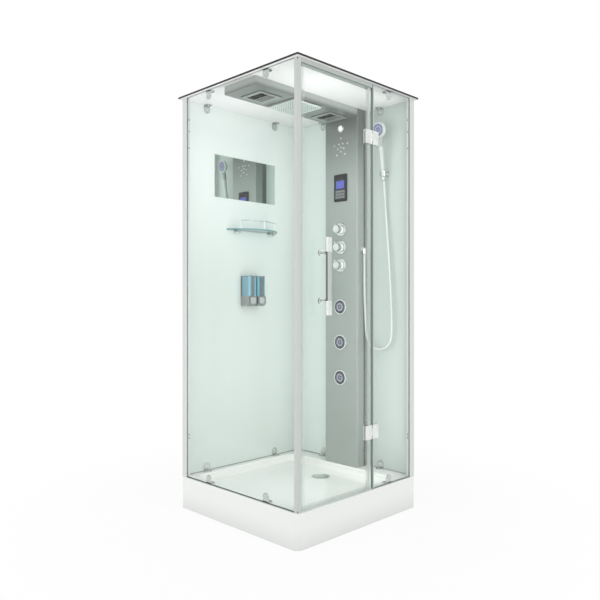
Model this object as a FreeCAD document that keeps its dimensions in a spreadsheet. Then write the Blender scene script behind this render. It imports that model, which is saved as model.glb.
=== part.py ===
"""Steam shower cabin, in millimetres, +Z up.

The origin is the centre of the tray's underside.  The door closes the -Y face, clear glass the -X face,
and painted glass walls stand at +Y and +X.  The function column stands against the +X wall.
"""
import FreeCAD, Part
import math
import operator
import os

import Sketcher

Vector = FreeCAD.Vector
Rotation = FreeCAD.Rotation
doc = FreeCAD.newDocument("SteamShowerCabin")

SIZES = {
    # tray
    "tray_side": 900, "tray_height": 165, "tray_corner": 36, "tray_shell": 6, "tray_edge": 5,
    "rim_width": 62, "rim_column": 118, "basin_corner": 60, "basin_floor": 128, "basin_floor_thick": 9,
    "basin_cove": 24, "basin_lip": 8,
    "drain_across": 175, "drain_bore": 42, "drain_seat": 52, "drain_seat_deep": 4, "cover_dome": 3,
    "cover_thick": 4,
    "trap_cup": 46, "trap_wall": 4, "trap_flange": 56, "trap_flange_thick": 6, "trap_deep": 60,
    "waste_pipe": 25, "waste_reach": 240,
    "beam": 30, "beam_wall": 2, "beam_row": 280, "beam_column": 330,
    "foot_pad": 26, "foot_rim": 5, "foot_cone": 14, "foot_stud": 6, "foot_nut": 11, "foot_nut_high": 10,
    "foot_nut_gap": 2,
    # glass box
    "glass_line": 440, "glass": 6, "frame_line": 443, "profile": 22, "profile_corner": 8,
    "wall_profile": 43, "channel_deep": 10, "fit": 0.3, "seal_high": 4,
    "roof_side": 914, "roof_under": 2190, "roof_thick": 8, "trim_wall": 3, "trim_drop": 6, "trim_rise": 2,
    "vent_slot": 6, "vent_slot_reach": 45, "vent_pitch": 14,
    "header_high": 20, "header_deep": 12, "stop_lip": 12, "stop_lip_thick": 3,
    # brackets
    "bracket_wide": 39, "bracket_thick": 4, "bracket_leg": 36, "bracket_plate": 46, "bracket_row": 220,
    "bracket_rear_left": 285, "bracket_rear_right": 224, "bracket_front": 228,
    "screw_head": 6, "screw_dome": 2.4,
    # door and its hinges
    "hinge_across": 74, "hinge_high": 70, "hinge_drop": 268, "hinge_rise": 288, "leaf_thick": 5,
    "leaf_gap": 8.4, "door_leaf": 44, "fixed_leaf": 54, "leaf_web": 3.6, "knuckle": 7.8,
    "knuckle_middle": 38, "knuckle_gap": 0.3, "hinge_pin": 4, "pin_fit": 0.05,
    "door_gap_side": 2.4, "door_gap_top": 4, "door_gap_bottom": 1.5, "side_seal": 24, "strike_seal": 16,
    "bottom_seal": 20, "seal_wall": 2, "seal_web": 4, "gasket": 13, "gasket_web": 5,
    "handle_across": 289, "handle_wide": 30, "handle_thick": 12, "handle_low": 1041, "handle_high": 1396,
    "handle_stand": 43, "handle_block": 66, "handle_waist": 0.8, "handle_round": 2, "handle_post": 7,
    "handle_post_low": 1107, "handle_post_high": 1328, "rose": 14, "rose_thick": 4, "inner_rose_thick": 5,
    # function column
    "column_front": 342, "column_centre": -3, "column_wide": 244, "column_side": 56, "sheet": 2,
    "column_corner": 4, "column_lap": 8, "base_wall": 2,
    "lamp_drop": 92, "lamp": 22, "lamp_hole": 15, "lamp_thick": 6, "lamp_stem": 10, "lamp_bevel": 3,
    "star_drop": 109, "star_outer": 52, "star_inner": 24, "nozzle": 5, "nozzle_rise": 4, "nozzle_stem": 3,
    "nozzle_long": 8,
    "panel_drop": 156, "panel_tall": 155, "panel_wide": 92, "panel_thick": 8, "panel_corner": 5,
    "panel_box": 74, "panel_box_deep": 18, "screen_wide": 64, "screen_drop": 24, "screen_tall": 58,
    "keypad_wide": 74, "keypad_drop": 7, "keypad_tall": 52, "inlay": 1.2,
    "knob_drop": 162, "knob_step": 103, "rosette": 38.5, "rosette_thick": 8, "spindle": 6,
    "spindle_out": 16, "valve_neck": 11, "valve": 20, "valve_long": 46, "valve_gap": 2, "valve_arm": 7,
    "knob_base": 27, "knob_base_thick": 5, "knob_bevel": 2, "knob_waist": 19, "knob_neck": 14,
    "knob_cap": 22, "knob_long": 38, "lever_pin": 3, "lever_long": 17, "running": 0.4,
    "jet_drop": 239, "jet_step": 203, "jet_flange": 43, "jet_flange_thick": 10, "jet_socket": 39,
    "jet_socket_deep": 46, "jet_ball": 34, "jet_ball_half": 20, "jet_sunk": 8, "jet_bore": 12,
    "jet_stub": 5, "riser_out": 55, "riser_set": 18, "riser": 8, "riser_tail": 25, "riser_drop": 22,
    "boiler_rise": 35, "boiler_drop": 105, "boiler_wide": 170, "boiler_deep": 80, "boiler_corner": 6,
    "steam_rise": 100, "steam_front": 372, "steam_pipe": 9, "steam_cap": 20, "steam_cap_thick": 10,
    # hand shower
    "outlet_front": 386, "outlet_high": 1400, "outlet_stand": 16, "outlet_pipe": 9, "outlet_rose": 17,
    "outlet_nut": 11, "outlet_nut_low": 1372, "hose": 6.5,
    "hand_x": 406, "hand_y": -262, "hand_drop": 414, "hand_tilt": 8, "hand_foot": 9.5, "hand_grip": 11.5,
    "hand_cone": 40, "hand_neck": 15, "hand_handle": 232, "hand_reach": 273, "hand_head": 44,
    "hand_face": 36, "hand_face_sunk": 3, "hand_front": 12, "hand_back": 12,
    "clip_low": 22, "clip_high": 28, "clip_wall": 6, "clip_slot": 14.5, "clip_arm": 9, "clip_plate": 20,
    "clip_plate_thick": 6,
    # ceiling unit
    "unit_left": 412, "unit_deep": 42, "unit_corner": 6, "unit_fold": 3, "grille_left": 258,
    "grille_right": 252, "grille_side": 150, "grille_thick": 4, "grille_corner": 4, "grille_back": 10,
    "vent_hole": 110, "grille_slot": 112, "grille_slot_wide": 50, "louvre": 8, "louvre_pitch": 15,
    "rain_across": -32, "rain_side": 210, "rain_thick": 8, "rain_drop": 3, "rain_corner": 8, "rain_neck": 20,
    "fan_frame_side": 120, "fan_frame_high": 24, "fan_bore": 53, "fan_motor": 17, "fan_shaft": 3,
    "fan_blade": 50, "fan_blade_wide": 14, "fan_blade_thick": 1.6, "fan_hub": 16, "fan_strut": 4,
    "fan_strut_thick": 3, "fan_motor_thick": 7, "fan_lift": 2,
    # rear wall fittings
    "mirror_left": 232, "mirror_right": 224, "mirror_low": 1690, "mirror_high": 1928, "mirror_thick": 4,
    "shelf_across": 45, "shelf_wide": 380, "shelf_deep": 120, "shelf_low": 1511, "shelf_thick": 8,
    "shelf_bracket": 9, "shelf_bracket_out": 40, "shelf_bracket_row": 127, "rail_inset": 12, "rail": 3,
    "rail_cap": 4.2, "rail_rise": 47, "rail_angle": 42,
    "soap_left": 41, "soap_wide": 62, "soap_gap": 6, "soap_deep": 72, "soap_low": 1076, "soap_body": 58,
    "soap_tall": 116, "soap_back": 4, "soap_tank": 66, "soap_tank_corner": 10, "soap_spine": 22,
    "soap_spine_thick": 2, "soap_chamfer": 14, "lever_wide": 38, "lever_foot": 14, "lever_head": 6,
    "lever_corner": 5, "lever_thick": 12,
    "lever_proud": 3, "lever_travel": 6,
}

sheet = doc.addObject("Spreadsheet::Sheet", "Sizes")
for row, (alias, number) in enumerate(SIZES.items(), start=1):
    sheet.set(f"A{row}", alias)
    sheet.set(f"B{row}", str(number))
    sheet.setAlias(f"B{row}", alias)
doc.recompute()


class Size:
    """A length that knows its number and its formula on the sheet."""

    def __init__(self, value, text):
        self.value = value
        self.text = text

    def __add__(self, other):
        return joined(self, "+", other)

    def __radd__(self, other):
        return joined(other, "+", self)

    def __sub__(self, other):
        return joined(self, "-", other)

    def __rsub__(self, other):
        return joined(other, "-", self)

    def __mul__(self, other):
        return joined(self, "*", other)

    def __rmul__(self, other):
        return joined(other, "*", self)

    def __truediv__(self, other):
        return joined(self, "/", other)

    def __neg__(self):
        return joined(0, "-", self)


SIGNS = {"+": operator.add, "-": operator.sub, "*": operator.mul, "/": operator.truediv}


def as_size(number):
    if isinstance(number, Size):
        return number
    return Size(float(number), repr(float(number)))


def joined(left, sign, right):
    left, right = as_size(left), as_size(right)
    return Size(SIGNS[sign](left.value, right.value), f"({left.text} {sign} {right.text})")


class Sheet:
    """The driving sizes by name."""

    def __getattr__(self, name):
        return Size(float(SIZES[name]), f"Sizes.{name}")


g = Sheet()


# ---------------------------------------------------------------- small makers

def bind(item, path, size):
    item.setExpression(path, as_size(size).text)


def place(item, x=0, y=0, z=0, turn=None):
    """Puts an item at (x, y, z), turned by an optional rotation."""
    x, y, z = as_size(x), as_size(y), as_size(z)
    item.Placement = FreeCAD.Placement(Vector(x.value, y.value, z.value), turn or Rotation())
    for axis, size in zip("xyz", (x, y, z)):
        bind(item, f"Placement.Base.{axis}", size)
    return item


def box(name, x, y, z):
    """A box between pairs of limits."""
    item = doc.addObject("Part::Box", name)
    for edge, (low, high) in zip(("Length", "Width", "Height"), (x, y, z)):
        bind(item, edge, high - low)
    return place(item, x[0], y[0], z[0])


TURNS = {
    "+Z": Rotation(),
    "-Z": Rotation(Vector(1, 0, 0), 180),
    "+X": Rotation(Vector(0, 1, 0), 90),
    "-X": Rotation(Vector(0, 1, 0), -90),
    "+Y": Rotation(Vector(1, 0, 0), -90),
    "-Y": Rotation(Vector(1, 0, 0), 90),
}


def rod(name, radius, length, at, along="+Z"):
    """A round bar that starts at a point and runs along an axis."""
    item = doc.addObject("Part::Cylinder", name)
    bind(item, "Radius", radius)
    bind(item, "Height", length)
    return place(item, *at, turn=TURNS[along])


def ball(name, radius, at):
    item = doc.addObject("Part::Sphere", name)
    bind(item, "Radius", radius)
    return place(item, *at)


def cut(name, base, *tools):
    item = doc.addObject("Part::Cut", name)
    item.Base = base
    item.Tool = tools[0] if len(tools) == 1 else fuse(name + "_tools", *tools)
    return item


def fuse(name, *pieces):
    item = doc.addObject("Part::MultiFuse", name)
    item.Shapes = list(pieces)
    item.Refine = True
    return item


def common(name, first, second):
    item = doc.addObject("Part::Common", name)
    item.Base = first
    item.Tool = second
    return item


def copy_of(master, name, at, turn=None):
    """A further piece like the master, somewhere else."""
    item = doc.addObject("App::Link", name)
    item.LinkedObject = master
    return place(item, *at, turn=turn)


def group(name, pieces):
    """Separate solids under one name."""
    item = doc.addObject("Part::Compound", name)
    item.Links = list(pieces)
    return item


def new_body(name):
    return doc.addObject("PartDesign::Body", name)


def new_sketch(body, role, label, offset=0):
    """A sketch on one of the body's own planes, raised by an offset along the plane's normal."""
    sketch = body.newObject("Sketcher::SketchObject", f"{body.Name}_{label}")
    plane = next(item for item in body.Origin.OriginFeatures if item.Role == role)
    sketch.AttachmentSupport = [(plane, "")]
    sketch.MapMode = "FlatFace"
    offset = as_size(offset)
    sketch.AttachmentOffset = FreeCAD.Placement(Vector(0, 0, offset.value), Rotation())
    bind(sketch, "AttachmentOffset.Base.z", offset)
    return sketch


def pin_down(sketch, kind, geometry, point, size, name):
    """Fixes one coordinate of a sketch point to a formula."""
    size = as_size(size)
    index = sketch.addConstraint(Sketcher.Constraint(kind, -1, 1, geometry, point, size.value))
    sketch.renameConstraint(index, name)
    bind(sketch, f"Constraints.{name}", size)


def outline(sketch, corners):
    """Adds a closed polygon whose corners are pairs of sizes."""
    first = sketch.GeometryCount
    corners = [(as_size(x), as_size(y)) for x, y in corners]
    count = len(corners)
    for index, (x, y) in enumerate(corners):
        next_x, next_y = corners[(index + 1) % count]
        start, end = Vector(x.value, y.value, 0), Vector(next_x.value, next_y.value, 0)
        sketch.addGeometry(Part.LineSegment(start, end))
    for index, (x, y) in enumerate(corners):
        line = first + index
        sketch.addConstraint(Sketcher.Constraint("Coincident", line, 2, first + (index + 1) % count, 1))
        pin_down(sketch, "DistanceX", line, 1, x, f"x{line}")
        pin_down(sketch, "DistanceY", line, 1, y, f"y{line}")
    return sketch


def rectangle(sketch, x, y):
    return outline(sketch, [(x[0], y[0]), (x[1], y[0]), (x[1], y[1]), (x[0], y[1])])


def rounded(sketch, x, y, radius):
    """Adds a rectangle with round corners."""
    first = sketch.GeometryCount
    left, right = (as_size(side).value for side in x)
    low, high = (as_size(side).value for side in y)
    r = as_size(radius).value
    straight = [((left + r, low), (right - r, low)), ((right, low + r), (right, high - r)),
                ((right - r, high), (left + r, high)), ((left, high - r), (left, low + r))]
    centres = [(right - r, low + r), (right - r, high - r), (left + r, high - r), (left + r, low + r)]
    for quarter, ((start, end), centre) in enumerate(zip(straight, centres)):
        sketch.addGeometry(Part.LineSegment(Vector(*start, 0), Vector(*end, 0)))
        circle = Part.Circle(Vector(*centre, 0), Vector(0, 0, 1), r)
        begin = (quarter - 1) * math.pi / 2
        sketch.addGeometry(Part.ArcOfCircle(circle, begin, begin + math.pi / 2))
    for quarter in range(4):
        line = first + 2 * quarter
        arc = line + 1
        following = first + (2 * quarter + 2) % 8
        sketch.addConstraint(Sketcher.Constraint("Tangent", line, 2, arc, 1))
        sketch.addConstraint(Sketcher.Constraint("Tangent", arc, 2, following, 1))
        if quarter:
            sketch.addConstraint(Sketcher.Constraint("Equal", first + 1, arc))
    index = sketch.addConstraint(Sketcher.Constraint("Radius", first + 1, r))
    sketch.renameConstraint(index, f"radius{first}")
    bind(sketch, f"Constraints.radius{first}", radius)
    for line, kind in ((0, "Horizontal"), (2, "Vertical"), (4, "Horizontal"), (6, "Vertical")):
        sketch.addConstraint(Sketcher.Constraint(kind, first + line))
    pin_down(sketch, "DistanceY", first, 1, y[0], f"low{first}")
    pin_down(sketch, "DistanceX", first + 2, 1, x[1], f"right{first}")
    pin_down(sketch, "DistanceY", first + 4, 1, y[1], f"high{first}")
    pin_down(sketch, "DistanceX", first + 6, 1, x[0], f"left{first}")
    return sketch


def circle(sketch, x, y, radius):
    """Adds a circle."""
    x, y, radius = as_size(x), as_size(y), as_size(radius)
    item = sketch.addGeometry(Part.Circle(Vector(x.value, y.value, 0), Vector(0, 0, 1), radius.value))
    index = sketch.addConstraint(Sketcher.Constraint("Radius", item, radius.value))
    sketch.renameConstraint(index, f"r{item}")
    bind(sketch, f"Constraints.r{item}", radius)
    pin_down(sketch, "DistanceX", item, 3, x, f"x{item}")
    pin_down(sketch, "DistanceY", item, 3, y, f"y{item}")
    return sketch


def feature(body, kind, sketch, length, label, backwards):
    """A pad or pocket of a sketch."""
    before = body.Shape.Volume if kind == "Pocket" else 0
    item = body.newObject(f"PartDesign::{kind}", f"{body.Name}_{label}")
    item.Profile = sketch
    item.Reversed = backwards
    bind(item, "Length", length)
    doc.recompute()
    if kind == "Pocket" and not item.Shape.Volume < before - 1:
        raise ValueError(f"{item.Name} cuts nothing")
    return item


def pad(body, sketch, length, label="pad", backwards=False):
    return feature(body, "Pad", sketch, length, label, backwards)


def pocket(body, sketch, length, label="pocket", backwards=False):
    return feature(body, "Pocket", sketch, length, label, backwards)


def lathe(name, profile):
    """A body turned about its own Z axis from (radius, height) corners."""
    body = new_body(name)
    sketch = outline(new_sketch(body, "XZ_Plane", "profile"), profile)
    turned = body.newObject("PartDesign::Revolution", f"{name}_turned")
    turned.Profile = sketch
    turned.ReferenceAxis = (sketch, ["V_Axis"])
    turned.Angle = 360
    return body


def soften(body, radius, chosen, label):
    """Rounds the edges of a body that a test on their middle point and direction picks."""
    doc.recompute()
    tip = body.Tip
    names = []
    for index, edge in enumerate(tip.Shape.Edges, start=1):
        middle = edge.valueAt((edge.FirstParameter + edge.LastParameter) / 2)
        if chosen(middle, edge):
            names.append(f"Edge{index}")
    item = body.newObject("PartDesign::Fillet", f"{body.Name}_{label}")
    item.Base = (tip, names)
    bind(item, "Radius", radius)
    doc.recompute()
    return item


def upright(edge):
    box_ = edge.BoundBox
    return box_.ZLength > 1 and box_.XLength < 0.01 and box_.YLength < 0.01


def near(value, size):
    return abs(value - as_size(size).value) < 0.01


parts = {}


def keep(name, item):
    """Registers a finished sub-part under its own name."""
    item.Label = name
    parts[name] = item
    return item


# ---------------------------------------------------------------- shared places

half_tray = g.tray_side / 2
glass_in = g.glass_line - g.glass
frame_in = g.frame_line - g.profile
wall_end = g.frame_line - g.wall_profile
channel_end = frame_in + g.channel_deep
pane_end = channel_end - g.fit
wall_channel_end = wall_end + g.channel_deep
glass_low = g.tray_height + g.seal_high
basin_left = g.rim_width - half_tray
basin_right = half_tray - g.rim_column
basin_side = half_tray - g.rim_width
slab_under = g.basin_floor - g.basin_floor_thick
beam_under = slab_under - g.beam
column_back = g.column_front + g.column_side
column_low = g.column_centre - g.column_wide / 2
column_high = g.column_centre + g.column_wide / 2
hinge_line = (g.glass_line + glass_in) / 2
door_right = g.hinge_across - g.leaf_gap - g.leaf_web
fixed_left = g.hinge_across + g.leaf_gap + g.leaf_web
door_left = -frame_in + g.door_gap_side + g.seal_web
door_low = g.tray_height + g.door_gap_bottom + g.seal_web
header_under = g.roof_under - g.header_high
door_high = header_under - g.door_gap_top
gasket_left = fixed_left - g.gasket_web
hinge_upper = g.roof_under - g.hinge_drop
hinge_lower = g.tray_height + g.hinge_rise
unit_under = g.roof_under - g.unit_deep
riser_top = g.roof_under - g.riser_drop
lamp_high = g.roof_under - g.lamp_drop
star_high = lamp_high - g.star_drop
panel_high = star_high - g.panel_drop
panel_low = panel_high - g.panel_tall
knob_upper = panel_low - g.knob_drop
jet_upper = knob_upper - 2 * g.knob_step - g.jet_drop
jet_lower = jet_upper - 2 * g.jet_step
riser_low = jet_lower - g.riser_tail
riser_x = g.column_front + g.riser_set
boiler_low = g.tray_height + g.boiler_rise
boiler_high = jet_lower - g.boiler_drop
hand_z = g.roof_under - g.hand_drop


# ---------------------------------------------------------------- tray and what is under it

def shower_tray():
    """Acrylic shell: rounded skirt, rim, coved basin, drain seat, hollow underneath."""
    body = new_body("shower_tray")
    blank = rounded(new_sketch(body, "XY_Plane", "outer"), (-half_tray, half_tray), (-half_tray, half_tray),
                    g.tray_corner)
    pad(body, blank, g.tray_height)
    basin = rounded(new_sketch(body, "XY_Plane", "basin", g.tray_height), (basin_left, basin_right),
                    (-basin_side, basin_side), g.basin_corner)
    pocket(body, basin, g.tray_height - g.basin_floor, "basin_cut")
    inner = half_tray - g.tray_shell
    under = new_sketch(body, "XY_Plane", "under")
    rounded(under, (-inner, inner), (-inner, inner), g.tray_corner - g.tray_shell)
    hollow = pocket(body, under, slab_under, "under_cut", backwards=True)
    if hollow.Shape.BoundBox.ZMin > 1:
        raise ValueError("the tray lost its skirt")
    ring = new_sketch(body, "XY_Plane", "ring")
    rounded(ring, (-inner, inner), (-inner, inner), g.tray_corner - g.tray_shell)
    wall = g.tray_shell
    rounded(ring, (basin_left - wall, basin_right + wall), (-(basin_side + wall), basin_side + wall),
            g.basin_corner + wall)
    pocket(body, ring, g.tray_height - g.tray_shell, "ring_cut", backwards=True)
    inside = basin_side.value + 1

    def basin_bottom(point, edge):
        return near(edge.BoundBox.ZMin, g.basin_floor) and near(edge.BoundBox.ZMax, g.basin_floor)

    def basin_top(point, edge):
        flat = near(edge.BoundBox.ZMin, g.tray_height) and near(edge.BoundBox.ZMax, g.tray_height)
        return flat and abs(point.y) < inside and point.x < basin_right.value + 1 and point.x > -inside

    def outer_top(point, edge):
        flat = near(edge.BoundBox.ZMin, g.tray_height) and near(edge.BoundBox.ZMax, g.tray_height)
        return flat and not basin_top(point, edge)

    soften(body, g.basin_cove, basin_bottom, "cove")
    soften(body, g.basin_lip, basin_top, "lip")
    soften(body, g.tray_edge, outer_top, "edge")
    seat = circle(new_sketch(body, "XY_Plane", "seat", g.basin_floor), g.drain_across, 0, g.drain_seat)
    pocket(body, seat, g.drain_seat_deep, "seat_cut")
    bore = circle(new_sketch(body, "XY_Plane", "bore", g.basin_floor), g.drain_across, 0, g.drain_bore)
    pocket(body, bore, g.basin_floor_thick + 1, "bore_cut")
    keep("shower_tray", body)


def drain_cover():
    """Domed round cover with a skirt that drops into the drain's bore."""
    rim = g.drain_seat - g.fit
    sleeve = g.drain_bore - g.fit * 2
    top = g.cover_thick
    profile = [(0, 0), (sleeve - 3, 0), (sleeve - 3, -6), (sleeve, -6), (sleeve, 0), (rim, 0),
               (rim, top - 1), (rim - 3, top), (rim / 2, top + g.cover_dome - 1), (0, top + g.cover_dome)]
    cover = lathe("drain_cover", profile)
    place(cover, g.drain_across, 0, g.basin_floor - g.drain_seat_deep)
    keep("drain_cover", cover)


def drain_trap():
    """Trap cup with its flange under the tray and the waste pipe towards the rear."""
    top = slab_under
    across = g.drain_across
    pipe_axis = g.trap_deep + g.waste_pipe + g.trap_wall
    thick = g.trap_flange_thick
    flange = rod("trap_flange_disc", g.trap_flange, thick, (across, 0, top - thick))
    cup = rod("trap_cup_wall", g.trap_cup, top - g.trap_deep, (across, 0, g.trap_deep))
    pipe = rod("trap_pipe_wall", g.waste_pipe, g.waste_reach, (across, 0, pipe_axis), "+Y")
    inner = g.trap_cup - g.trap_wall
    room = rod("trap_cup_room", inner, top - g.trap_deep, (across, 0, g.trap_deep + g.trap_wall))
    bore = rod("trap_pipe_room", g.waste_pipe - g.trap_wall, g.waste_reach + 1, (across, 0, pipe_axis), "+Y")
    keep("drain_trap", cut("drain_trap", fuse("trap_walls", flange, cup, pipe), room, bore))


def square_tube(name, x, y, z):
    """A hollow square bar that is open at both ends along its longer side."""
    wall = g.beam_wall
    outside = box(name + "_outside", x, y, z)
    along_x = as_size(x[1] - x[0]).value > as_size(y[1] - y[0]).value
    inner_x = (x[0] - 1, x[1] + 1) if along_x else (x[0] + wall, x[1] - wall)
    inner_y = (y[0] + wall, y[1] - wall) if along_x else (y[0] - 1, y[1] + 1)
    inside = box(name + "_inside", inner_x, inner_y, (z[0] + wall, z[1] - wall))
    return cut(name, outside, inside)


def tray_frame():
    """Welded steel frame that carries the tray's floor."""
    half = g.beam / 2
    z = (beam_under, slab_under)
    bars = []
    for label, side in (("front", -g.beam_row), ("rear", g.beam_row)):
        x = (-(g.beam_column + half), g.beam_column + half)
        bars.append(square_tube(f"{label}_beam", x, (side - half, side + half), z))
    for label, side in (("left", -g.beam_column), ("middle", as_size(0)), ("right", g.beam_column)):
        y = (-(g.beam_row - half), g.beam_row - half)
        bars.append(square_tube(f"{label}_beam", (side - half, side + half), y, z))
    keep("tray_frame", fuse("tray_frame", *bars))


def levelling_feet():
    """Five screw feet under the frame."""
    top = beam_under
    pad_r, stud, nut = g.foot_pad, g.foot_stud, g.foot_nut
    nut_top = top - g.foot_nut_gap
    nut_low = nut_top - g.foot_nut_high
    profile = [(0, 0), (pad_r, 0), (pad_r, g.foot_rim), (stud, g.foot_cone), (stud, nut_low), (nut, nut_low),
               (nut, nut_top), (stud, nut_top), (stud, top), (0, top)]
    foot = lathe("foot", profile)
    corners = [(x, y) for x in (-g.beam_column, g.beam_column) for y in (-g.beam_row, g.beam_row)]
    places = corners + [(0, 0)]
    feet = [copy_of(foot, f"foot_{index}", (x, y, 0)) for index, (x, y) in enumerate(places)]
    keep("levelling_feet", group("levelling_feet", feet))


# ---------------------------------------------------------------- profiles, glass, roof

def extrusion(name, corners, rounding):
    """An aluminium profile from tray rim to roof, its outer corner rounded."""
    body = new_body(name)
    pad(body, outline(new_sketch(body, "XY_Plane", "section", g.tray_height), corners),
        g.roof_under - g.tray_height)
    soften(body, g.profile_corner, rounding, "corner")
    return body


def profiles():
    """Corner post, two wall profiles and the rear corner profile, each with its glass channels."""
    out, inn = g.frame_line, frame_in
    slot_out, slot_in = g.glass_line + g.fit, glass_in - g.fit
    deep = g.channel_deep

    def outer_corner(point, edge):
        return upright(edge) and near(abs(point.x), out) and near(abs(point.y), out)

    post = [(-out, -out), (-inn, -out), (-inn, -inn), (-slot_in, -inn), (-slot_in, -(inn + deep)),
            (-slot_out, -(inn + deep)), (-slot_out, -inn), (-out, -inn)]
    keep("corner_post", extrusion("corner_post", post, outer_corner))
    rear = [(inn, inn), (slot_in, inn), (slot_in, inn + deep), (slot_out, inn + deep), (slot_out, inn),
            (out, inn), (out, out), (inn, out), (inn, slot_out), (inn + deep, slot_out),
            (inn + deep, slot_in), (inn, slot_in)]
    keep("rear_corner_profile", extrusion("rear_corner_profile", rear, outer_corner))
    end = wall_end
    side = [(-out, end), (-slot_out, end), (-slot_out, end + deep), (-slot_in, end + deep), (-slot_in, end),
            (-inn, end), (-inn, slot_in), (-(inn + deep), slot_in), (-(inn + deep), slot_out),
            (-inn, slot_out), (-inn, out), (-out, out)]
    left = extrusion("left_wall_profile", side, outer_corner)
    right = extrusion("right_wall_profile", [(y, x) for x, y in reversed(side)], outer_corner)
    keep("wall_profiles", group("wall_profiles", [left, right]))


def glass_walls():
    """Two clear panes and two painted ones, from their seals to the roof."""
    z = (glass_low, g.roof_under)
    left = (-g.glass_line, -glass_in)
    right = (glass_in, g.glass_line)
    keep("side_glass", box("side_glass", left, (-pane_end, wall_channel_end - g.fit), z))
    keep("front_fixed_glass", box("front_fixed_glass", (fixed_left, wall_channel_end - g.fit), left, z))
    keep("rear_wall_glass", box("rear_wall_glass", (-pane_end, pane_end), right, z))
    keep("right_wall_glass", box("right_wall_glass", right, (-pane_end, pane_end), z))


def rim_seals():
    """Seal strips between the panes and the tray's rim, and the gasket on the fixed pane's free edge."""
    z = (g.tray_height, glass_low)
    left = (-g.glass_line, -glass_in)
    right = (glass_in, g.glass_line)
    strips = [box("side_strip", left, (-frame_in, wall_end), z),
              box("front_strip", (gasket_left, wall_end), left, z),
              box("rear_strip", (-frame_in, frame_in), right, z),
              box("right_strip", right, (-frame_in, frame_in), z)]
    edge = (gasket_left, gasket_left + g.gasket)
    for index, (low, top) in enumerate(edge_spans(glass_low, g.roof_under)):
        strips.append(clip_seal(f"gasket_{index}", edge, (low, top), (fixed_left, edge[1] + 1),
                                (low - 1, top + 1)))
    keep("rim_seals", group("rim_seals", strips))


def roof():
    """White roof panel with vent slots over the fan, and the dark trim around it."""
    half = g.roof_side / 2
    inner = half - g.trim_wall
    body = new_body("roof_panel")
    plate = new_sketch(body, "XY_Plane", "plate", g.roof_under)
    pad(body, rectangle(plate, (-inner, inner), (-inner, inner)), g.roof_thick)
    slots = new_sketch(body, "XY_Plane", "slots", g.roof_under + g.roof_thick)
    for index in range(-3, 4):
        y = g.column_centre + g.grille_back + index * g.vent_pitch
        rectangle(slots, (-g.grille_left - g.vent_slot_reach, -g.grille_left + g.vent_slot_reach),
                  (y - g.vent_slot / 2, y + g.vent_slot / 2))
    pocket(body, slots, g.roof_thick + 1, "vents")
    keep("roof_panel", body)
    low = g.roof_under + g.roof_thick - g.trim_drop
    high = g.roof_under + g.roof_thick + g.trim_rise
    ring = box("trim_outside", (-half, half), (-half, half), (low, high))
    hole = box("trim_inside", (-inner, inner), (-inner, inner), (low - 1, high + 1))
    keep("roof_edge_trim", cut("roof_edge_trim", ring, hole))


def header_rail():
    """Rail over the door with the lip that the door closes against."""
    body = new_body("header_rail")
    out, back = g.frame_line, g.frame_line - g.header_deep
    lip = back - g.stop_lip_thick
    shelf = header_under
    low = header_under - g.stop_lip
    section = [(-out, shelf), (-back, shelf), (-back, low), (-lip, low), (-lip, g.roof_under),
               (-out, g.roof_under)]
    pad(body, outline(new_sketch(body, "YZ_Plane", "section", -frame_in), section), gasket_left + frame_in)
    keep("header_rail", body)


def glass_brackets():
    """L-shaped brackets with arched ends that tie the panes to roof and rim, and their screws."""
    half = g.bracket_wide / 2
    thick = g.bracket_thick
    straight = g.bracket_plate - half
    reach = g.bracket_leg - half
    plate = box("bracket_plate_flat", (-half, half), (0, thick), (0, straight))
    plate_end = rod("bracket_plate_end", half, thick, (0, 0, straight), "+Y")
    leg = box("bracket_leg_flat", (-half, half), (0, reach), (0, thick))
    leg_disc = rod("bracket_leg_disc", half, thick, (0, reach, 0))
    leg_end = common("bracket_leg_end", leg_disc, box("bracket_leg_field", (-half, half), (0, g.bracket_leg),
                     (0, thick)))
    master = fuse("bracket", plate, plate_end, leg, leg_end)
    head = g.screw_head
    dome = [(0, 0), (head, 0), (head * 0.7, g.screw_dome), (0, g.screw_dome)]
    screw = lathe("bracket_screw", dome)
    flip = Rotation(Vector(0, 1, 0), 180)
    places = [(-glass_in, -g.bracket_row, -90), (-glass_in, g.bracket_row, -90),
              (-g.bracket_rear_left, glass_in, 180), (g.bracket_rear_right, glass_in, 180),
              (glass_in, -g.bracket_row, 90), (glass_in, g.bracket_row, 90),
              (g.bracket_front, -glass_in, 0)]
    brackets, screws = [], []
    for index, (x, y, angle) in enumerate(places):
        inward = Rotation(Vector(0, 0, 1), angle)
        step = inward.multVec(Vector(0, 1, 0))
        step_x, step_y = round(step.x), round(step.y)
        for label, z, up in (("low", g.tray_height, 1), ("high", g.roof_under, -1)):
            turn = inward if up == 1 else inward * flip
            brackets.append(copy_of(master, f"bracket_{label}_{index}", (x, y, z), turn))
            on_plate = (x + thick * step_x, y + thick * step_y, z + up * straight)
            screws.append(copy_of(screw, f"plate_screw_{label}_{index}", on_plate, inward * TURNS["+Y"]))
            on_leg = (x + reach * step_x, y + reach * step_y, z + up * thick)
            facing = TURNS["+Z"] if up == 1 else TURNS["-Z"]
            screws.append(copy_of(screw, f"leg_screw_{label}_{index}", on_leg, facing))
    keep("glass_brackets", group("glass_brackets", brackets))
    keep("bracket_screws", group("bracket_screws", screws))


# ---------------------------------------------------------------- door

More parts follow.
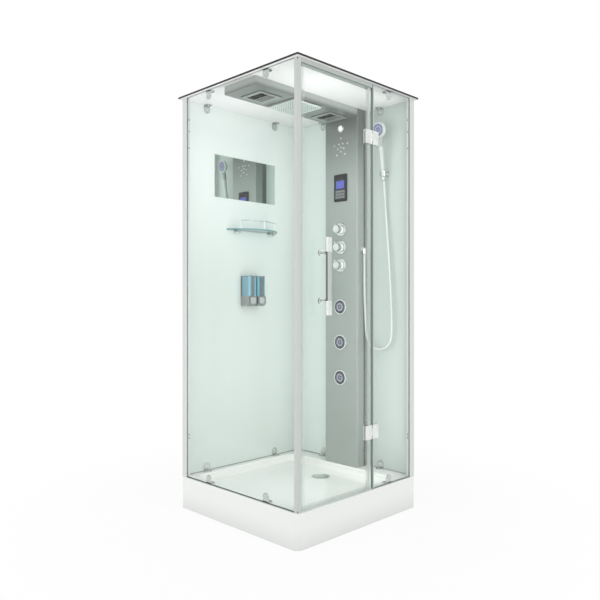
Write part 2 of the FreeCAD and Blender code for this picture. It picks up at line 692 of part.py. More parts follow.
def hinge_leaf(name, side, reach, lugs):
    """Clamp plates on both faces of the pane, their web, and knuckles round the pin.

    The leaf is drawn about the hinge line: side is -1 for the door, +1 for the fixed pane.
    """
    half = g.hinge_high / 2
    inside = g.glass / 2
    outside = inside + g.leaf_thick

    def span(near_edge, far_edge):
        return (near_edge, far_edge) if side > 0 else (-far_edge, -near_edge)

    pieces = [box(f"{name}_front", span(g.leaf_gap, reach), (-outside, -inside), (-half, half)),
              box(f"{name}_back", span(g.leaf_gap, reach), (inside, outside), (-half, half)),
              box(f"{name}_web", span(g.leaf_gap, g.leaf_gap + g.leaf_web), (-inside, inside), (-half, half))]
    for index, (low, high) in enumerate(lugs):
        pieces.append(rod(f"{name}_knuckle_{index}", g.knuckle, high - low, (0, 0, low)))
        pieces.append(box(f"{name}_neck_{index}", span(g.hinge_pin, g.leaf_gap + 1), (-outside, outside),
                          (low, high)))
    return pieces


def hinges():
    """Two glass-to-glass hinges: fixed leaves carry the pins, door leaves turn on them."""
    half = g.hinge_high / 2
    share = g.knuckle_middle / 2
    lugs = [(-half, -(share + g.knuckle_gap)), (share + g.knuckle_gap, half)]
    door_pieces = hinge_leaf("door_leaf_piece", -1, g.door_leaf, lugs)
    bore = rod("door_leaf_bore", g.hinge_pin + g.pin_fit, g.hinge_high + 2, (0, 0, -half - 1))
    door_master = cut("door_leaf_master", fuse("door_leaf_solid", *door_pieces), bore)
    fixed_pieces = hinge_leaf("fixed_leaf_piece", 1, g.fixed_leaf, [(-share, share)])
    pin = rod("hinge_pin_bar", g.hinge_pin, g.hinge_high, (0, 0, -half))
    fixed_master = fuse("fixed_leaf_master", pin, *fixed_pieces)
    heights = (("lower", hinge_lower), ("upper", hinge_upper))
    for name, master in (("hinge_door_leaves", door_master), ("hinge_fixed_leaves", fixed_master)):
        copies = [copy_of(master, f"{name}_{label}", (g.hinge_across, -hinge_line, z))
                  for label, z in heights]
        keep(name, group(name, copies))


def clip_seal(name, x, z, glass_x, glass_z):
    """A U-shaped strip that grips a pane's edge."""
    strip = box(name + "_strip", x, (-(g.glass_line + g.seal_wall), -(glass_in - g.seal_wall)), z)
    pane = box(name + "_pane", glass_x, (-g.glass_line, -glass_in), glass_z)
    return cut(name, strip, pane)


def edge_spans(low, high):
    """The lengths of a pane's edge that the hinges leave free."""
    half = g.hinge_high / 2 + g.knuckle_gap
    return [(low, hinge_lower - half), (hinge_lower + half, hinge_upper - half),
            (hinge_upper + half, high)]


def door():
    """Door pane with its strike seal, hinge side seals and bottom sweep."""
    pane = box("door_glass", (door_left, door_right), (-g.glass_line, -glass_in), (door_low, door_high))
    keep("door_glass", pane)
    strips = []
    strike = (door_left - g.seal_web, door_left + g.strike_seal)
    high = door_high
    strips.append(clip_seal("strike_seal", strike, (door_low, high), (door_left, strike[1] + 1),
                            (door_low - 1, high + 1)))
    hinge_side = (door_right - g.side_seal, door_right + g.seal_web)
    for index, (low, top) in enumerate(edge_spans(door_low, high)):
        strips.append(clip_seal(f"side_seal_{index}", hinge_side, (low, top), (hinge_side[0] - 1, door_right),
                                (low - 1, top + 1)))
    sweep_x = (strike[1], hinge_side[0])
    sweep_top = door_low + g.bottom_seal
    strips.append(clip_seal("bottom_sweep", sweep_x, (door_low - g.seal_web, sweep_top),
                            (sweep_x[0] - 1, sweep_x[1] + 1), (door_low, sweep_top + 1)))
    keep("door_seals", group("door_seals", strips))


def door_handle():
    """Flat bar with two posts, and the roses that clamp it through the pane."""
    front = g.glass_line + g.rose_thick
    back = g.glass_line + g.handle_stand
    face = back + g.handle_thick
    half = g.handle_wide / 2
    body = new_body("handle_bar")
    block = g.handle_block
    spans = (("grip", g.handle_low + block - 1, g.handle_high - block + 1, g.handle_waist),
             ("low_block", g.handle_low, g.handle_low + block, 0),
             ("high_block", g.handle_high - block, g.handle_high, 0))
    for label, low, high, inset in spans:
        section = new_sketch(body, "XY_Plane", label + "_section", low)
        rounded(section, (-g.handle_across - half + inset, -g.handle_across + half - inset),
                (-face + inset, -back - inset), g.handle_round)
        pad(body, section, high - low, label)
    posts, roses = [], []
    for label, z in (("low", g.handle_post_low), ("high", g.handle_post_high)):
        post_long = back - front + g.handle_round
        posts.append(rod(f"post_{label}", g.handle_post, post_long, (-g.handle_across, -front, z), "-Y"))
        roses.append(rod(f"rose_{label}", g.rose, g.rose_thick, (-g.handle_across, -g.glass_line, z), "-Y"))
        inner = rod(f"inner_rose_{label}", g.rose, g.inner_rose_thick, (-g.handle_across, -glass_in, z), "+Y")
        roses.append(inner)
    keep("door_handle", fuse("door_handle", body, *posts))
    keep("door_handle_roses", group("door_handle_roses", roses))


# ---------------------------------------------------------------- column

def nozzle_places():
    """Star of eleven nozzles: five outer ones, five inner ones and the middle one."""
    places = [(g.column_centre, star_high)]
    for radius, start in ((g.star_outer, 90), (g.star_inner, -90)):
        for index in range(5):
            angle = math.radians(start + 72 * index)
            places.append((g.column_centre + radius * math.cos(angle), star_high + radius * math.sin(angle)))
    return places


def knob_heights():
    return [("upper", knob_upper), ("middle", knob_upper - g.knob_step),
            ("lower", knob_upper - 2 * g.knob_step)]


def jet_heights():
    return [("upper", jet_upper), ("middle", jet_upper - g.jet_step),
            ("lower", jet_upper - 2 * g.jet_step)]


def column_panel():
    """Folded front of the column with its holes."""
    body = new_body("column_panel")
    front, back, wall = g.column_front, column_back, g.sheet
    low, high = column_low, column_high
    section = [(front, low), (back, low), (back, low + wall), (front + wall, low + wall),
               (front + wall, high - wall), (back, high - wall), (back, high), (front, high)]
    pad(body, outline(new_sketch(body, "XY_Plane", "section", g.tray_height), section),
        g.roof_under - g.tray_height)

    def front_corner(point, edge):
        return upright(edge) and near(point.x, front)

    soften(body, g.column_corner, front_corner, "folds")
    holes = new_sketch(body, "YZ_Plane", "holes", front + wall + 1)
    centre = g.column_centre
    for y, z in nozzle_places():
        circle(holes, y, z, g.nozzle_stem + g.fit)
    for _, z in knob_heights():
        circle(holes, centre, z, g.valve_neck + g.fit)
    for _, z in jet_heights():
        circle(holes, centre, z, g.jet_socket + g.fit)
    circle(holes, centre, lamp_high, g.lamp_hole)
    circle(holes, centre + g.riser_out, riser_top, g.riser + g.fit)
    box_half = g.panel_box / 2 + g.fit
    rectangle(holes, (centre - box_half, centre + box_half), (panel_low + g.panel_thick - g.fit,
              panel_high - g.panel_thick + g.fit))
    pocket(body, holes, wall + 2, "holes_cut")
    hose_hole = new_sketch(body, "XZ_Plane", "hose_hole", 1 - low)
    pocket(body, circle(hose_hole, g.outlet_front, g.outlet_high, g.outlet_pipe), wall + 2, "hose_hole_cut")
    steam_hole = new_sketch(body, "XZ_Plane", "steam_hole", 1 + wall - high)
    pocket(body, circle(steam_hole, g.steam_front, boiler_low + g.steam_rise, g.steam_pipe + g.fit), wall + 2,
           "steam_cut")
    keep("column_panel", body)


def column_base():
    """Darker rear channel that the front panel laps over."""
    body = new_body("column_base")
    front, back, wall = column_back - g.column_lap, glass_in, g.base_wall
    low, high = column_low + g.sheet, column_high - g.sheet
    section = [(front, low), (back, low), (back, high), (front, high), (front, high - wall),
               (back - wall, high - wall), (back - wall, low + wall), (front, low + wall)]
    pad(body, outline(new_sketch(body, "XY_Plane", "section", g.tray_height), section),
        g.roof_under - g.tray_height)
    hose_hole = new_sketch(body, "XZ_Plane", "hose_hole", 1 - low)
    room = g.outlet_pipe + g.fit
    notch = rectangle(hose_hole, (front - 1, g.outlet_front + room),
                      (g.outlet_high - room, g.outlet_high + room))
    pocket(body, notch, wall + 2, "hose_cut")
    keep("column_base", body)


def column_lamp():
    """Round lamp near the column's top."""
    wide, thick, bevel = g.lamp, g.lamp_thick, g.lamp_bevel
    stem = g.lamp_hole - g.fit
    profile = [(0, -g.lamp_stem), (stem, -g.lamp_stem), (stem, 0), (wide, 0), (wide, thick / 2),
               (wide - bevel, thick), (wide - 2 * bevel, thick), (wide - 2 * bevel, thick - bevel / 2),
               (0, thick - bevel / 2)]
    lamp = lathe("column_lamp", profile)
    place(lamp, g.column_front, g.column_centre, lamp_high, TURNS["-X"])
    keep("column_lamp", lamp)


def shoulder_nozzles():
    """Eleven small chrome nozzles in a star."""
    wide, rise = g.nozzle, g.nozzle_rise
    profile = [(0, -g.nozzle_long), (g.nozzle_stem, -g.nozzle_long), (g.nozzle_stem, 0), (wide, 0),
               (wide * 0.7, rise), (0, rise)]
    master = lathe("nozzle_master", profile)
    copies = [copy_of(master, f"nozzle_{index}", (g.column_front, y, z), TURNS["-X"])
              for index, (y, z) in enumerate(nozzle_places())]
    keep("shoulder_nozzles", group("shoulder_nozzles", copies))


def control_panel():
    """Panel frame with its box behind the sheet, the screen and the flat keypad film."""
    body = new_body("control_panel")
    centre, front = g.column_centre, g.column_front - g.panel_thick
    half = g.panel_wide / 2
    face = new_sketch(body, "YZ_Plane", "face", front)
    rectangle(face, (centre - half, centre + half), (panel_low, panel_high))
    pad(body, face, g.panel_thick, "plate")

    def end_corner(point, edge):
        frame = edge.BoundBox
        return frame.XLength > 1 and frame.YLength < 0.01 and frame.ZLength < 0.01

    soften(body, g.panel_corner, end_corner, "corners")
    box_half = g.panel_box / 2
    rear = new_sketch(body, "YZ_Plane", "rear", g.column_front)
    rectangle(rear, (centre - box_half, centre + box_half), (panel_low + g.panel_thick,
              panel_high - g.panel_thick))
    pad(body, rear, g.panel_box_deep, "box")
    windows = new_sketch(body, "YZ_Plane", "windows", front + g.inlay)
    screen_high = panel_high - g.screen_drop
    screen_low = screen_high - g.screen_tall
    keypad_high = screen_low - g.keypad_drop
    inlays = (("panel_display", g.screen_wide / 2, screen_low, screen_high),
              ("panel_keypad", g.keypad_wide / 2, keypad_high - g.keypad_tall, keypad_high))
    for _, wide, low, high in inlays:
        rectangle(windows, (centre - wide, centre + wide), (low, high))
    cutter = pocket(body, windows, g.inlay + 1, "windows_cut")
    if not cutter.Shape.BoundBox.XMin < front.value + 0.01:
        raise ValueError("the panel's face is gone")
    keep("control_panel", body)
    for name, wide, low, high in inlays:
        slack = g.fit / 2
        keep(name, box(name, (front + slack, front + g.inlay), (centre - wide + slack, centre + wide - slack),
                       (low + slack, high - slack)))


def knob_rosettes():
    """Round cover discs behind the knobs."""
    wide, thick = g.rosette, g.rosette_thick
    bore = g.valve_neck + g.fit
    profile = [(bore, 0), (wide, 0), (wide, thick / 2), (wide - 3, thick), (bore, thick)]
    master = lathe("rosette_master", profile)
    copies = [copy_of(master, f"rosette_{label}", (g.column_front, g.column_centre, z), TURNS["-X"])
              for label, z in knob_heights()]
    keep("knob_rosettes", group("knob_rosettes", copies))


def knobs():
    """Three turned knobs with a waist, a broad cap and a lever pin, each bored for its spindle."""
    base, waist, cap, long = g.knob_base, g.knob_waist, g.knob_cap, g.knob_long
    thick, bevel, neck = g.knob_base_thick, g.knob_bevel, g.knob_neck
    bore = g.spindle + g.pin_fit
    deep = g.spindle_out - g.rosette_thick + g.running
    face = g.column_front - g.rosette_thick - g.running
    for label, z in knob_heights():
        profile = [(bore, 0), (base, 0), (base, thick), (base - bevel, thick + bevel),
                   (waist, thick + 2 * bevel), (waist, neck), (cap, neck + bevel), (cap, long - bevel),
                   (cap - bevel, long), (0, long), (0, deep), (bore, deep)]
        turned = lathe(f"{label}_knob_turned", profile)
        place(turned, face, g.column_centre, z, TURNS["-X"])
        slant = Rotation(Vector(1, 0, 0), -35)
        middle = (face - long / 2 - 6, g.column_centre, z)
        lever = doc.addObject("Part::Cylinder", f"{label}_knob_lever")
        bind(lever, "Radius", g.lever_pin)
        bind(lever, "Height", cap + g.lever_long)
        place(lever, *middle, turn=slant)
        keep(f"{label}_knob", fuse(f"{label}_knob", turned, lever))


def mixer_valves():
    """Valve bodies behind the knobs, with spindles out to the knobs and arms to the risers."""
    start = g.column_front + g.sheet + g.valve_gap
    neck_long = g.rosette_thick + g.sheet + g.valve_gap
    body_rod = rod("valve_body", g.valve, g.valve_long, (start, 0, 0), "+X")
    neck = rod("valve_neck_rod", g.valve_neck, neck_long, (start, 0, 0), "-X")
    spindle_long = neck_long + g.spindle_out - g.rosette_thick
    spindle = rod("valve_spindle", g.spindle, spindle_long, (start, 0, 0), "-X")
    reach = g.riser_out - g.riser
    arm = rod("valve_arm_rod", g.valve_arm, reach * 2, (riser_x, -reach, 0), "+Y")
    master = fuse("valve_master", body_rod, neck, spindle, arm)
    copies = [copy_of(master, f"valve_{label}", (0, g.column_centre, z)) for label, z in knob_heights()]
    keep("mixer_valves", group("mixer_valves", copies))


def water_pipes():
    """Cold and hot risers; the cold one goes on over the ceiling unit to the rain head."""
    x, centre, radius = riser_x, g.column_centre, g.riser
    top = riser_top
    left = rod("riser_left", radius, top - riser_low, (x, centre + g.riser_out, riser_low))
    elbow = ball("riser_elbow", radius, (x, centre + g.riser_out, top))
    across = rod("pipe_across", radius, x - g.rain_across, (x, centre + g.riser_out, top), "-X")
    turn_ball = ball("pipe_elbow", radius, (g.rain_across, centre + g.riser_out, top))
    end_long = g.riser_out - g.rain_neck
    down = rod("pipe_end", radius, end_long, (g.rain_across, centre + g.riser_out, top), "-Y")
    stubs = []
    for label, z in jet_heights():
        for side in (-1, 1):
            start = centre + side * (g.jet_socket + g.fit)
            along = "+Y" if side > 0 else "-Y"
            long = g.riser_out - g.jet_socket - g.fit
            stubs.append(rod(f"stub_{label}_{along}", g.jet_stub, long, (x, start, z), along))
    right_top = knob_upper + g.valve * 2
    right = rod("riser_right", radius, right_top - riser_low, (x, centre - g.riser_out, riser_low))
    rear_side = fuse("pipe_rear", left, elbow, across, turn_ball, down, *stubs[1::2])
    front_side = fuse("pipe_front", right, *stubs[0::2])
    keep("water_pipes", group("water_pipes", [rear_side, front_side]))


def jets():
    """Chrome sockets in the sheet and a ball nozzle that tilts in each."""
    centre, front = g.column_centre, g.column_front
    middle = front + g.jet_sunk
    flange = rod("jet_flange_disc", g.jet_flange, g.jet_flange_thick, (front, 0, 0), "-X")
    socket = rod("jet_socket_wall", g.jet_socket, g.jet_socket_deep, (front, 0, 0), "+X")
    room = ball("jet_room", g.jet_ball + g.running, (middle, 0, 0))
    master = cut("jet_bezel_master", fuse("jet_bezel_walls", flange, socket), room)
    copies = [copy_of(master, f"jet_bezel_{label}", (0, centre, z)) for label, z in jet_heights()]
    keep("jet_bezels", group("jet_bezels", copies))
    half = g.jet_ball_half
    flat = half / g.jet_ball
    latitude = Size(math.degrees(math.asin(flat.value)), f"asin({flat.text})")
    for label, z in jet_heights():
        drum = ball(f"{label}_jet_drum", g.jet_ball, (middle, centre, z))
        drum.Placement.Rotation = TURNS["+X"]
        bind(drum, "Angle1", latitude * -1)
        bind(drum, "Angle2", latitude)
        bore = rod(f"{label}_jet_bore", g.jet_bore, half + 1, (middle, centre, z), "+X")
        keep(f"{label}_jet", cut(f"{label}_jet", drum, bore))


def steam_generator():
    """Boiler in the column's foot with its outlet pipe through the column's hidden side."""
    back = glass_in - g.base_wall
    half = g.boiler_wide / 2
    centre = g.column_centre
    body = new_body("boiler")
    plan = new_sketch(body, "XY_Plane", "plan", boiler_low)
    rounded(plan, (back - g.boiler_deep, back), (centre - half, centre + half), g.boiler_corner)
    pad(body, plan, boiler_high - boiler_low)
    start = centre + half - g.boiler_corner
    steam_high = boiler_low + g.steam_rise
    x = g.steam_front
    pipe = rod("steam_pipe_rod", g.steam_pipe, column_high - start, (x, start, steam_high), "+Y")
    cap = rod("steam_cap_disc", g.steam_cap, g.steam_cap_thick, (x, column_high, steam_high), "+Y")
    keep("steam_generator", fuse("steam_generator", body, pipe, cap))


# ---------------------------------------------------------------- hand shower

HOSE_ROUTE = [(386, -141, 1372), (387, -141, 1292), (391, -137, 1160), (395, -141, 1015), (397, -147, 886),
              (400, -197, 838), (403, -264, 835), (405, -314, 882), (406, -318, 957), (407, -313, 1100),
              (408, -303, 1250), (410, -290, 1400), (414, -274, 1550), (418.5, -262, 1687.35),
              (406, -262, 1776)]


def hand_turn():
    return Rotation(Vector(0, 1, 0), -g.hand_tilt.value)


def on_hand(along, forward=0.0):
    """A point of the hand shower's own frame: along its handle and forward of it."""
    tilt = math.radians(g.hand_tilt.value)
    x = -math.sin(tilt) * along - math.cos(tilt) * forward
    z = math.cos(tilt) * along - math.sin(tilt) * forward
    return Vector(x, 0, z)


def hose_outlet():
    """Elbow on the column's side where the hose starts."""
    x, z, wall = g.outlet_front, g.outlet_high, column_low
    stand = g.outlet_stand
    rose = rod("outlet_rose_disc", g.outlet_rose, 4, (x, wall, z), "-Y")
    stub = rod("outlet_stub", g.outlet_pipe, stand, (x, wall, z), "-Y")
    corner = ball("outlet_corner", g.outlet_pipe, (x, wall - stand, z))
    down = rod("outlet_down", g.outlet_pipe, z - g.outlet_nut_low, (x, wall - stand, g.outlet_nut_low))
    nut = rod("outlet_nut_ring", g.outlet_nut, 12, (x, wall - stand, g.outlet_nut_low))
    tail = rod("outlet_tail", g.outlet_pipe - g.fit, 12, (x, wall, z), "+Y")
    keep("hose_outlet", fuse("hose_outlet", rose, stub, corner, down, nut, tail))


def bend(before, corner, after):
    """The radius and tangent points of the arc that rounds one corner of the hose."""
    first, second = corner - before, after - corner
    turn = first.getAngle(second)
    shorter = min(first.Length, second.Length)
    radius = 0.45 * shorter / math.tan(turn / 2)
    reach = radius * math.tan(turn / 2)
    start = corner - first.normalize() * reach
    end = corner + second.normalize() * reach
    centre_way = (end - corner).normalize() + (start - corner).normalize()
    centre_way.normalize()
    top = corner + centre_way * (radius / math.cos(turn / 2) - radius)
    return radius, start, top, end


def shower_hose():
    """Smooth hose: straight runs joined by tangent arcs, swept with a round section.

    Its ends stop a fit short of the outlet's nut and of the hand shower's foot.
    """
    points = [Vector(*point) for point in HOSE_ROUTE]
    for end, inner in ((0, 1), (-1, -2)):
        points[end] += (points[inner] - points[end]).normalize() * g.fit.value
    edges, radii = [], []
    last = points[0]
    for before, corner, after in zip(points, points[1:], points[2:]):
        radius, start, top, end = bend(before, corner, after)
        edges.append(Part.LineSegment(last, start).toShape())
        edges.append(Part.Arc(start, top, end).toShape())
        radii.append(radius)
        last = end
    edges.append(Part.LineSegment(last, points[-1]).toShape())
    path = Part.Wire(edges)
    way = points[1] - points[0]
    section = Part.Wire(Part.Circle(points[0], way, g.hose.value).toShape())
    tube = path.makePipeShell([section], True, False)
    item = doc.addObject("Part::Feature", "shower_hose")
    item.Shape = tube
    expected = math.pi * g.hose.value ** 2 * path.Length
    print(f"hose length {path.Length:.0f} mm, volume {tube.Volume / expected:.4f} of section times length")
    print("hose radii", " ".join(f"{radius:.0f}" for radius in radii))
    keep("shower_hose", item)


def handset():
    """Hand shower: tapered handle, round head with a recessed face, and the spray plate in it."""
    foot, grip, neck, handle = g.hand_foot, g.hand_grip, g.hand_neck, g.hand_handle
    profile = [(0, 0), (foot, 0), (grip, g.hand_cone), (grip + 1, handle / 2), (neck, handle - neck),
               (neck, handle), (0, handle)]
    grip_body = lathe("handset_grip", profile)
    at = (g.hand_x, g.hand_y, hand_z)
    place(grip_body, *at, turn=hand_turn())
    head, face, front, back = g.hand_head, g.hand_face, g.hand_front, g.hand_back
    sunk = front - g.hand_face_sunk
    dome = [(0, sunk), (face, sunk), (face, front), (head - 3, front), (head, front - 3), (head, 0),
            (head - 8, -back + 2), (head - 20, -back - 3), (0, -back - 5)]
    head_body = lathe("handset_head", dome)
    centre = on_hand(g.hand_reach.value)
    facing = hand_turn() * TURNS["-X"]
    middle = (g.hand_x + centre.x, g.hand_y, hand_z + centre.z)
    place(head_body, *middle, turn=facing)
    keep("handset", fuse("handset", grip_body, head_body))
    plate_r = face - g.fit
    plate = lathe("handset_face", [(0, sunk), (plate_r, sunk), (plate_r, front), (plate_r - 2, front + 1),
                                   (0, front + 1)])
    place(plate, *middle, turn=facing)
    keep("handset_face", plate)


def handset_holder():
    """Wall clip with a conical socket that is open to the front for the hose."""
    at = (g.hand_x, g.hand_y, hand_z)
    low = on_hand(g.clip_low.value)
    turn = hand_turn()
    slope = (g.hand_grip - g.hand_foot) / g.hand_cone
    bottom = g.hand_foot + slope * g.clip_low + g.fit
    top = bottom + slope * g.clip_high
    base = (at[0] + low.x, at[1], at[2] + low.z)
    outside = doc.addObject("Part::Cylinder", "clip_outside")
    bind(outside, "Radius", top + g.clip_wall)
    bind(outside, "Height", g.clip_high)
    place(outside, *base, turn=turn)
    room = doc.addObject("Part::Cone", "clip_room")
    bind(room, "Radius1", bottom)
    bind(room, "Radius2", top)
    bind(room, "Height", g.clip_high)
    place(room, *base, turn=turn)
    slot = doc.addObject("Part::Box", "clip_slot")
    half = g.clip_slot / 2
    bind(slot, "Length", g.hand_head)
    bind(slot, "Width", g.clip_slot)
    bind(slot, "Height", g.clip_high + 4)
    corner = on_hand(g.clip_low.value - 2, g.hand_head.value)
    place(slot, at[0] + corner.x, at[1] - half, at[2] + corner.z, turn)
    middle = on_hand(g.clip_low.value + g.clip_high.value / 2)
    arm_start = at[0] + middle.x + g.hand_grip / 2
    arm_z = at[2] + middle.z
    arm = rod("clip_arm_rod", g.clip_arm, glass_in - arm_start, (arm_start, at[1], arm_z), "+X")
    plate = rod("clip_plate_disc", g.clip_plate, g.clip_plate_thick, (glass_in, at[1], arm_z), "-X")
    keep("handset_holder", cut("handset_holder", fuse("clip_solid", outside, arm, plate), room, slot))


# ---------------------------------------------------------------- ceiling unit

def unit_span():
    return column_low, column_high


def overhead_housing():
    """Shallow housing under the roof, open at its top, with holes for grilles and rain head."""
    body = new_body("overhead_housing")
    wall = g.sheet
    low, high = unit_span()
    blank = rectangle(new_sketch(body, "XY_Plane", "plan", unit_under), (-g.unit_left, g.column_front),
                      (low, high))
    pad(body, blank, g.roof_under - unit_under)

    def left_corner(point, edge):
        return upright(edge) and near(point.x, -g.unit_left)

    def lower_edge(point, edge):
        flat = near(edge.BoundBox.ZMin, unit_under) and near(edge.BoundBox.ZMax, unit_under)
        return flat and point.x < g.column_front.value - 1

    soften(body, g.unit_corner, left_corner, "corners")
    soften(body, g.unit_fold, lower_edge, "folds")
    room = new_sketch(body, "XY_Plane", "room", g.roof_under)
    rounded(room, (-g.unit_left + wall, g.column_front - wall), (low + wall, high - wall),
            g.unit_corner - wall)
    pocket(body, room, g.roof_under - unit_under - wall, "room_cut")
    holes = new_sketch(body, "XY_Plane", "holes", g.roof_under)
    half = g.vent_hole / 2
    centre = g.column_centre + g.grille_back
    for x in (-g.grille_left, g.grille_right):
        rectangle(holes, (x - half, x + half), (centre - half, centre + half))
    circle(holes, g.rain_across, g.column_centre, g.rain_neck + g.fit)
    pocket(body, holes, g.roof_under - unit_under + 1, "holes_cut")
    pipe_hole = new_sketch(body, "YZ_Plane", "pipe_hole", g.column_front + 1)
    circle(pipe_hole, g.column_centre + g.riser_out, riser_top, g.riser + g.fit)
    pocket(body, pipe_hole, wall + 2, "pipe_cut")
    keep("overhead_housing", body)


def vent_grilles():
    """Two louvred plates under the ceiling unit."""
    half = g.grille_side / 2
    centre = g.column_centre + g.grille_back
    plates = []
    for label, x in (("left", -g.grille_left), ("right", g.grille_right)):
        body = new_body(f"{label}_grille")
        low = unit_under - g.grille_thick
        plate = new_sketch(body, "XY_Plane", "plate", low)
        rounded(plate, (x - half, x + half), (centre - half, centre + half), g.grille_corner)
        pad(body, plate, g.grille_thick)
        slots = new_sketch(body, "XY_Plane", "slots", unit_under)
        reach = g.grille_slot / 2
        edge = x - reach + g.louvre / 2
        rectangle(slots, (edge, edge + g.grille_slot_wide), (centre - reach, centre + reach))
        for index in range(3):
            start = edge + g.grille_slot_wide + g.louvre + index * g.louvre_pitch
            rectangle(slots, (start, start + g.louvre), (centre - reach, centre + reach))
        pocket(body, slots, g.grille_thick + 1, "slots_cut")
        plates.append(body)
    keep("vent_grilles", group("vent_grilles", plates))


def rain_head():
    """Square rain plate with its neck up into the ceiling unit."""
    half = g.rain_side / 2
    x, y = g.rain_across, g.column_centre
    top = unit_under - g.rain_drop
    body = new_body("rain_plate")
    plan = new_sketch(body, "XY_Plane", "plan", top - g.rain_thick)
    rounded(plan, (x - half, x + half), (y - half, y + half), g.rain_corner)
    pad(body, plan, g.rain_thick)
    neck = rod("rain_neck_rod", g.rain_neck, riser_top + g.riser - top, (x, y, top))
    keep("rain_head", fuse("rain_head", body, neck))


def exhaust_fan():
    """Square fan frame with its motor, and the bladed rotor below the motor."""
    x, y = -g.grille_left, g.column_centre + g.grille_back
    half = g.fan_frame_side / 2
    low = unit_under + g.sheet
    high = low + g.fan_frame_high
    strut_low = high - g.fan_strut_thick
    motor_low = strut_low - g.fan_motor_thick
    hub_low = low + g.fan_lift
    shell = box("fan_shell", (x - half, x + half), (y - half, y + half), (low, high))
    bore = rod("fan_bore_room", g.fan_bore, g.fan_frame_high + 2, (x, y, low - 1))
    ring = cut("fan_ring", shell, bore)
    strut = g.fan_strut / 2
    cross = [box("fan_strut_x", (x - half, x + half), (y - strut, y + strut), (strut_low, high)),
             box("fan_strut_y", (x - strut, x + strut), (y - half, y + half), (strut_low, high))]
    motor = rod("fan_motor_disc", g.fan_motor, g.fan_motor_thick, (x, y, motor_low))
    pin = rod("fan_pin", g.fan_shaft, motor_low - hub_low, (x, y, hub_low))
    keep("fan_frame", group("fan_frame", [fuse("fan_ring_and_struts", ring, *cross),
                                          fuse("fan_motor_and_pin", motor, pin)]))
    hub_high = motor_low - g.running
    hub = rod("fan_hub_disc", g.fan_hub, hub_high - hub_low, (x, y, hub_low))
    blades = []
    middle = (hub_low + hub_high) / 2
    for index in range(7):
        blade = doc.addObject("Part::Box", f"fan_blade_{index}")
        bind(blade, "Length", g.fan_blade - g.fan_hub + g.fan_lift)
        bind(blade, "Width", g.fan_blade_wide)
        bind(blade, "Height", g.fan_blade_thick)
        spin = Rotation(Vector(0, 0, 1), 360 * index / 7)
        pitch = Rotation(Vector(1, 0, 0), 30)
        offset = (spin * pitch).multVec(Vector(0, -g.fan_blade_wide.value / 2, -g.fan_blade_thick.value / 2))
        way = spin.multVec(Vector(1, 0, 0))
        start = g.fan_hub - g.fan_lift
        at = (x + start * way.x + offset.x, y + start * way.y + offset.y, middle + offset.z)
        place(blade, *at, turn=spin * pitch)
        blades.append(blade)
    bore_low = hub_low - 1
    shaft = rod("fan_shaft_room", g.fan_shaft + g.pin_fit, hub_high - bore_low + 1, (x, y, bore_low))
    keep("fan_rotor", cut("fan_rotor", fuse("fan_rotor_solid", hub, *blades), shaft))


# ---------------------------------------------------------------- rear wall fittings

def mirror():
    keep("mirror", box("mirror", (-g.mirror_left, g.mirror_right), (glass_in - g.mirror_thick, glass_in),
                       (g.mirror_low, g.mirror_high)))


def bow_radius():
    half = g.shelf_wide / 2
    return (half * half + g.shelf_deep * g.shelf_deep) / (2 * g.shelf_deep)


def shelf():
    """Bow-fronted glass shelf on two wall stubs, with a curved rail on posts above it."""
    radius = bow_radius()
    centre_y = glass_in - g.shelf_deep + radius
    x = g.shelf_across
    top = g.shelf_low + g.shelf_thick
    disc = rod("shelf_disc", radius, g.shelf_thick, (x, centre_y, g.shelf_low))
    field = box("shelf_field", (x - radius, x + radius), (glass_in - g.shelf_deep - 1, glass_in),
                (g.shelf_low - 1, top + 1))
    keep("shelf_glass", common("shelf_glass", disc, field))
    stubs = []
    for label, side in (("left", -1), ("right", 1)):
        at = (x + side * g.shelf_bracket_row, glass_in, g.shelf_low - g.shelf_bracket)
        stubs.append(rod(f"shelf_stub_{label}", g.shelf_bracket, g.shelf_bracket_out, at, "-Y"))
    keep("shelf_brackets", group("shelf_brackets", stubs))
    rail_radius = radius - g.rail_inset
    rail_z = top + g.rail_rise
    ring = doc.addObject("Part::Torus", "rail_arc")
    bind(ring, "Radius1", rail_radius)
    bind(ring, "Radius2", g.rail)
    bind(ring, "Angle3", g.rail_angle * 2)
    spread = g.rail_angle.value
    place(ring, x, centre_y, rail_z, Rotation(Vector(0, 0, 1), -90 - spread))
    posts = [ring]
    for index, angle in enumerate((-spread, 0, spread)):
        across = math.sin(math.radians(angle))
        along = math.cos(math.radians(angle))
        foot_x, foot_y = x + rail_radius * across, centre_y - rail_radius * along
        posts.append(rod(f"rail_post_{index}", g.rail, rail_z - top, (foot_x, foot_y, top)))
        cap_at = (foot_x, foot_y, rail_z - g.rail_cap)
        posts.append(rod(f"rail_cap_{index}", g.rail_cap, g.rail_cap * 2, cap_at))
    keep("shelf_rail", fuse("shelf_rail", *posts))


def soap_places():
    step = g.soap_wide + g.soap_gap
    return [("left", -g.soap_left), ("right", step - g.soap_left)]


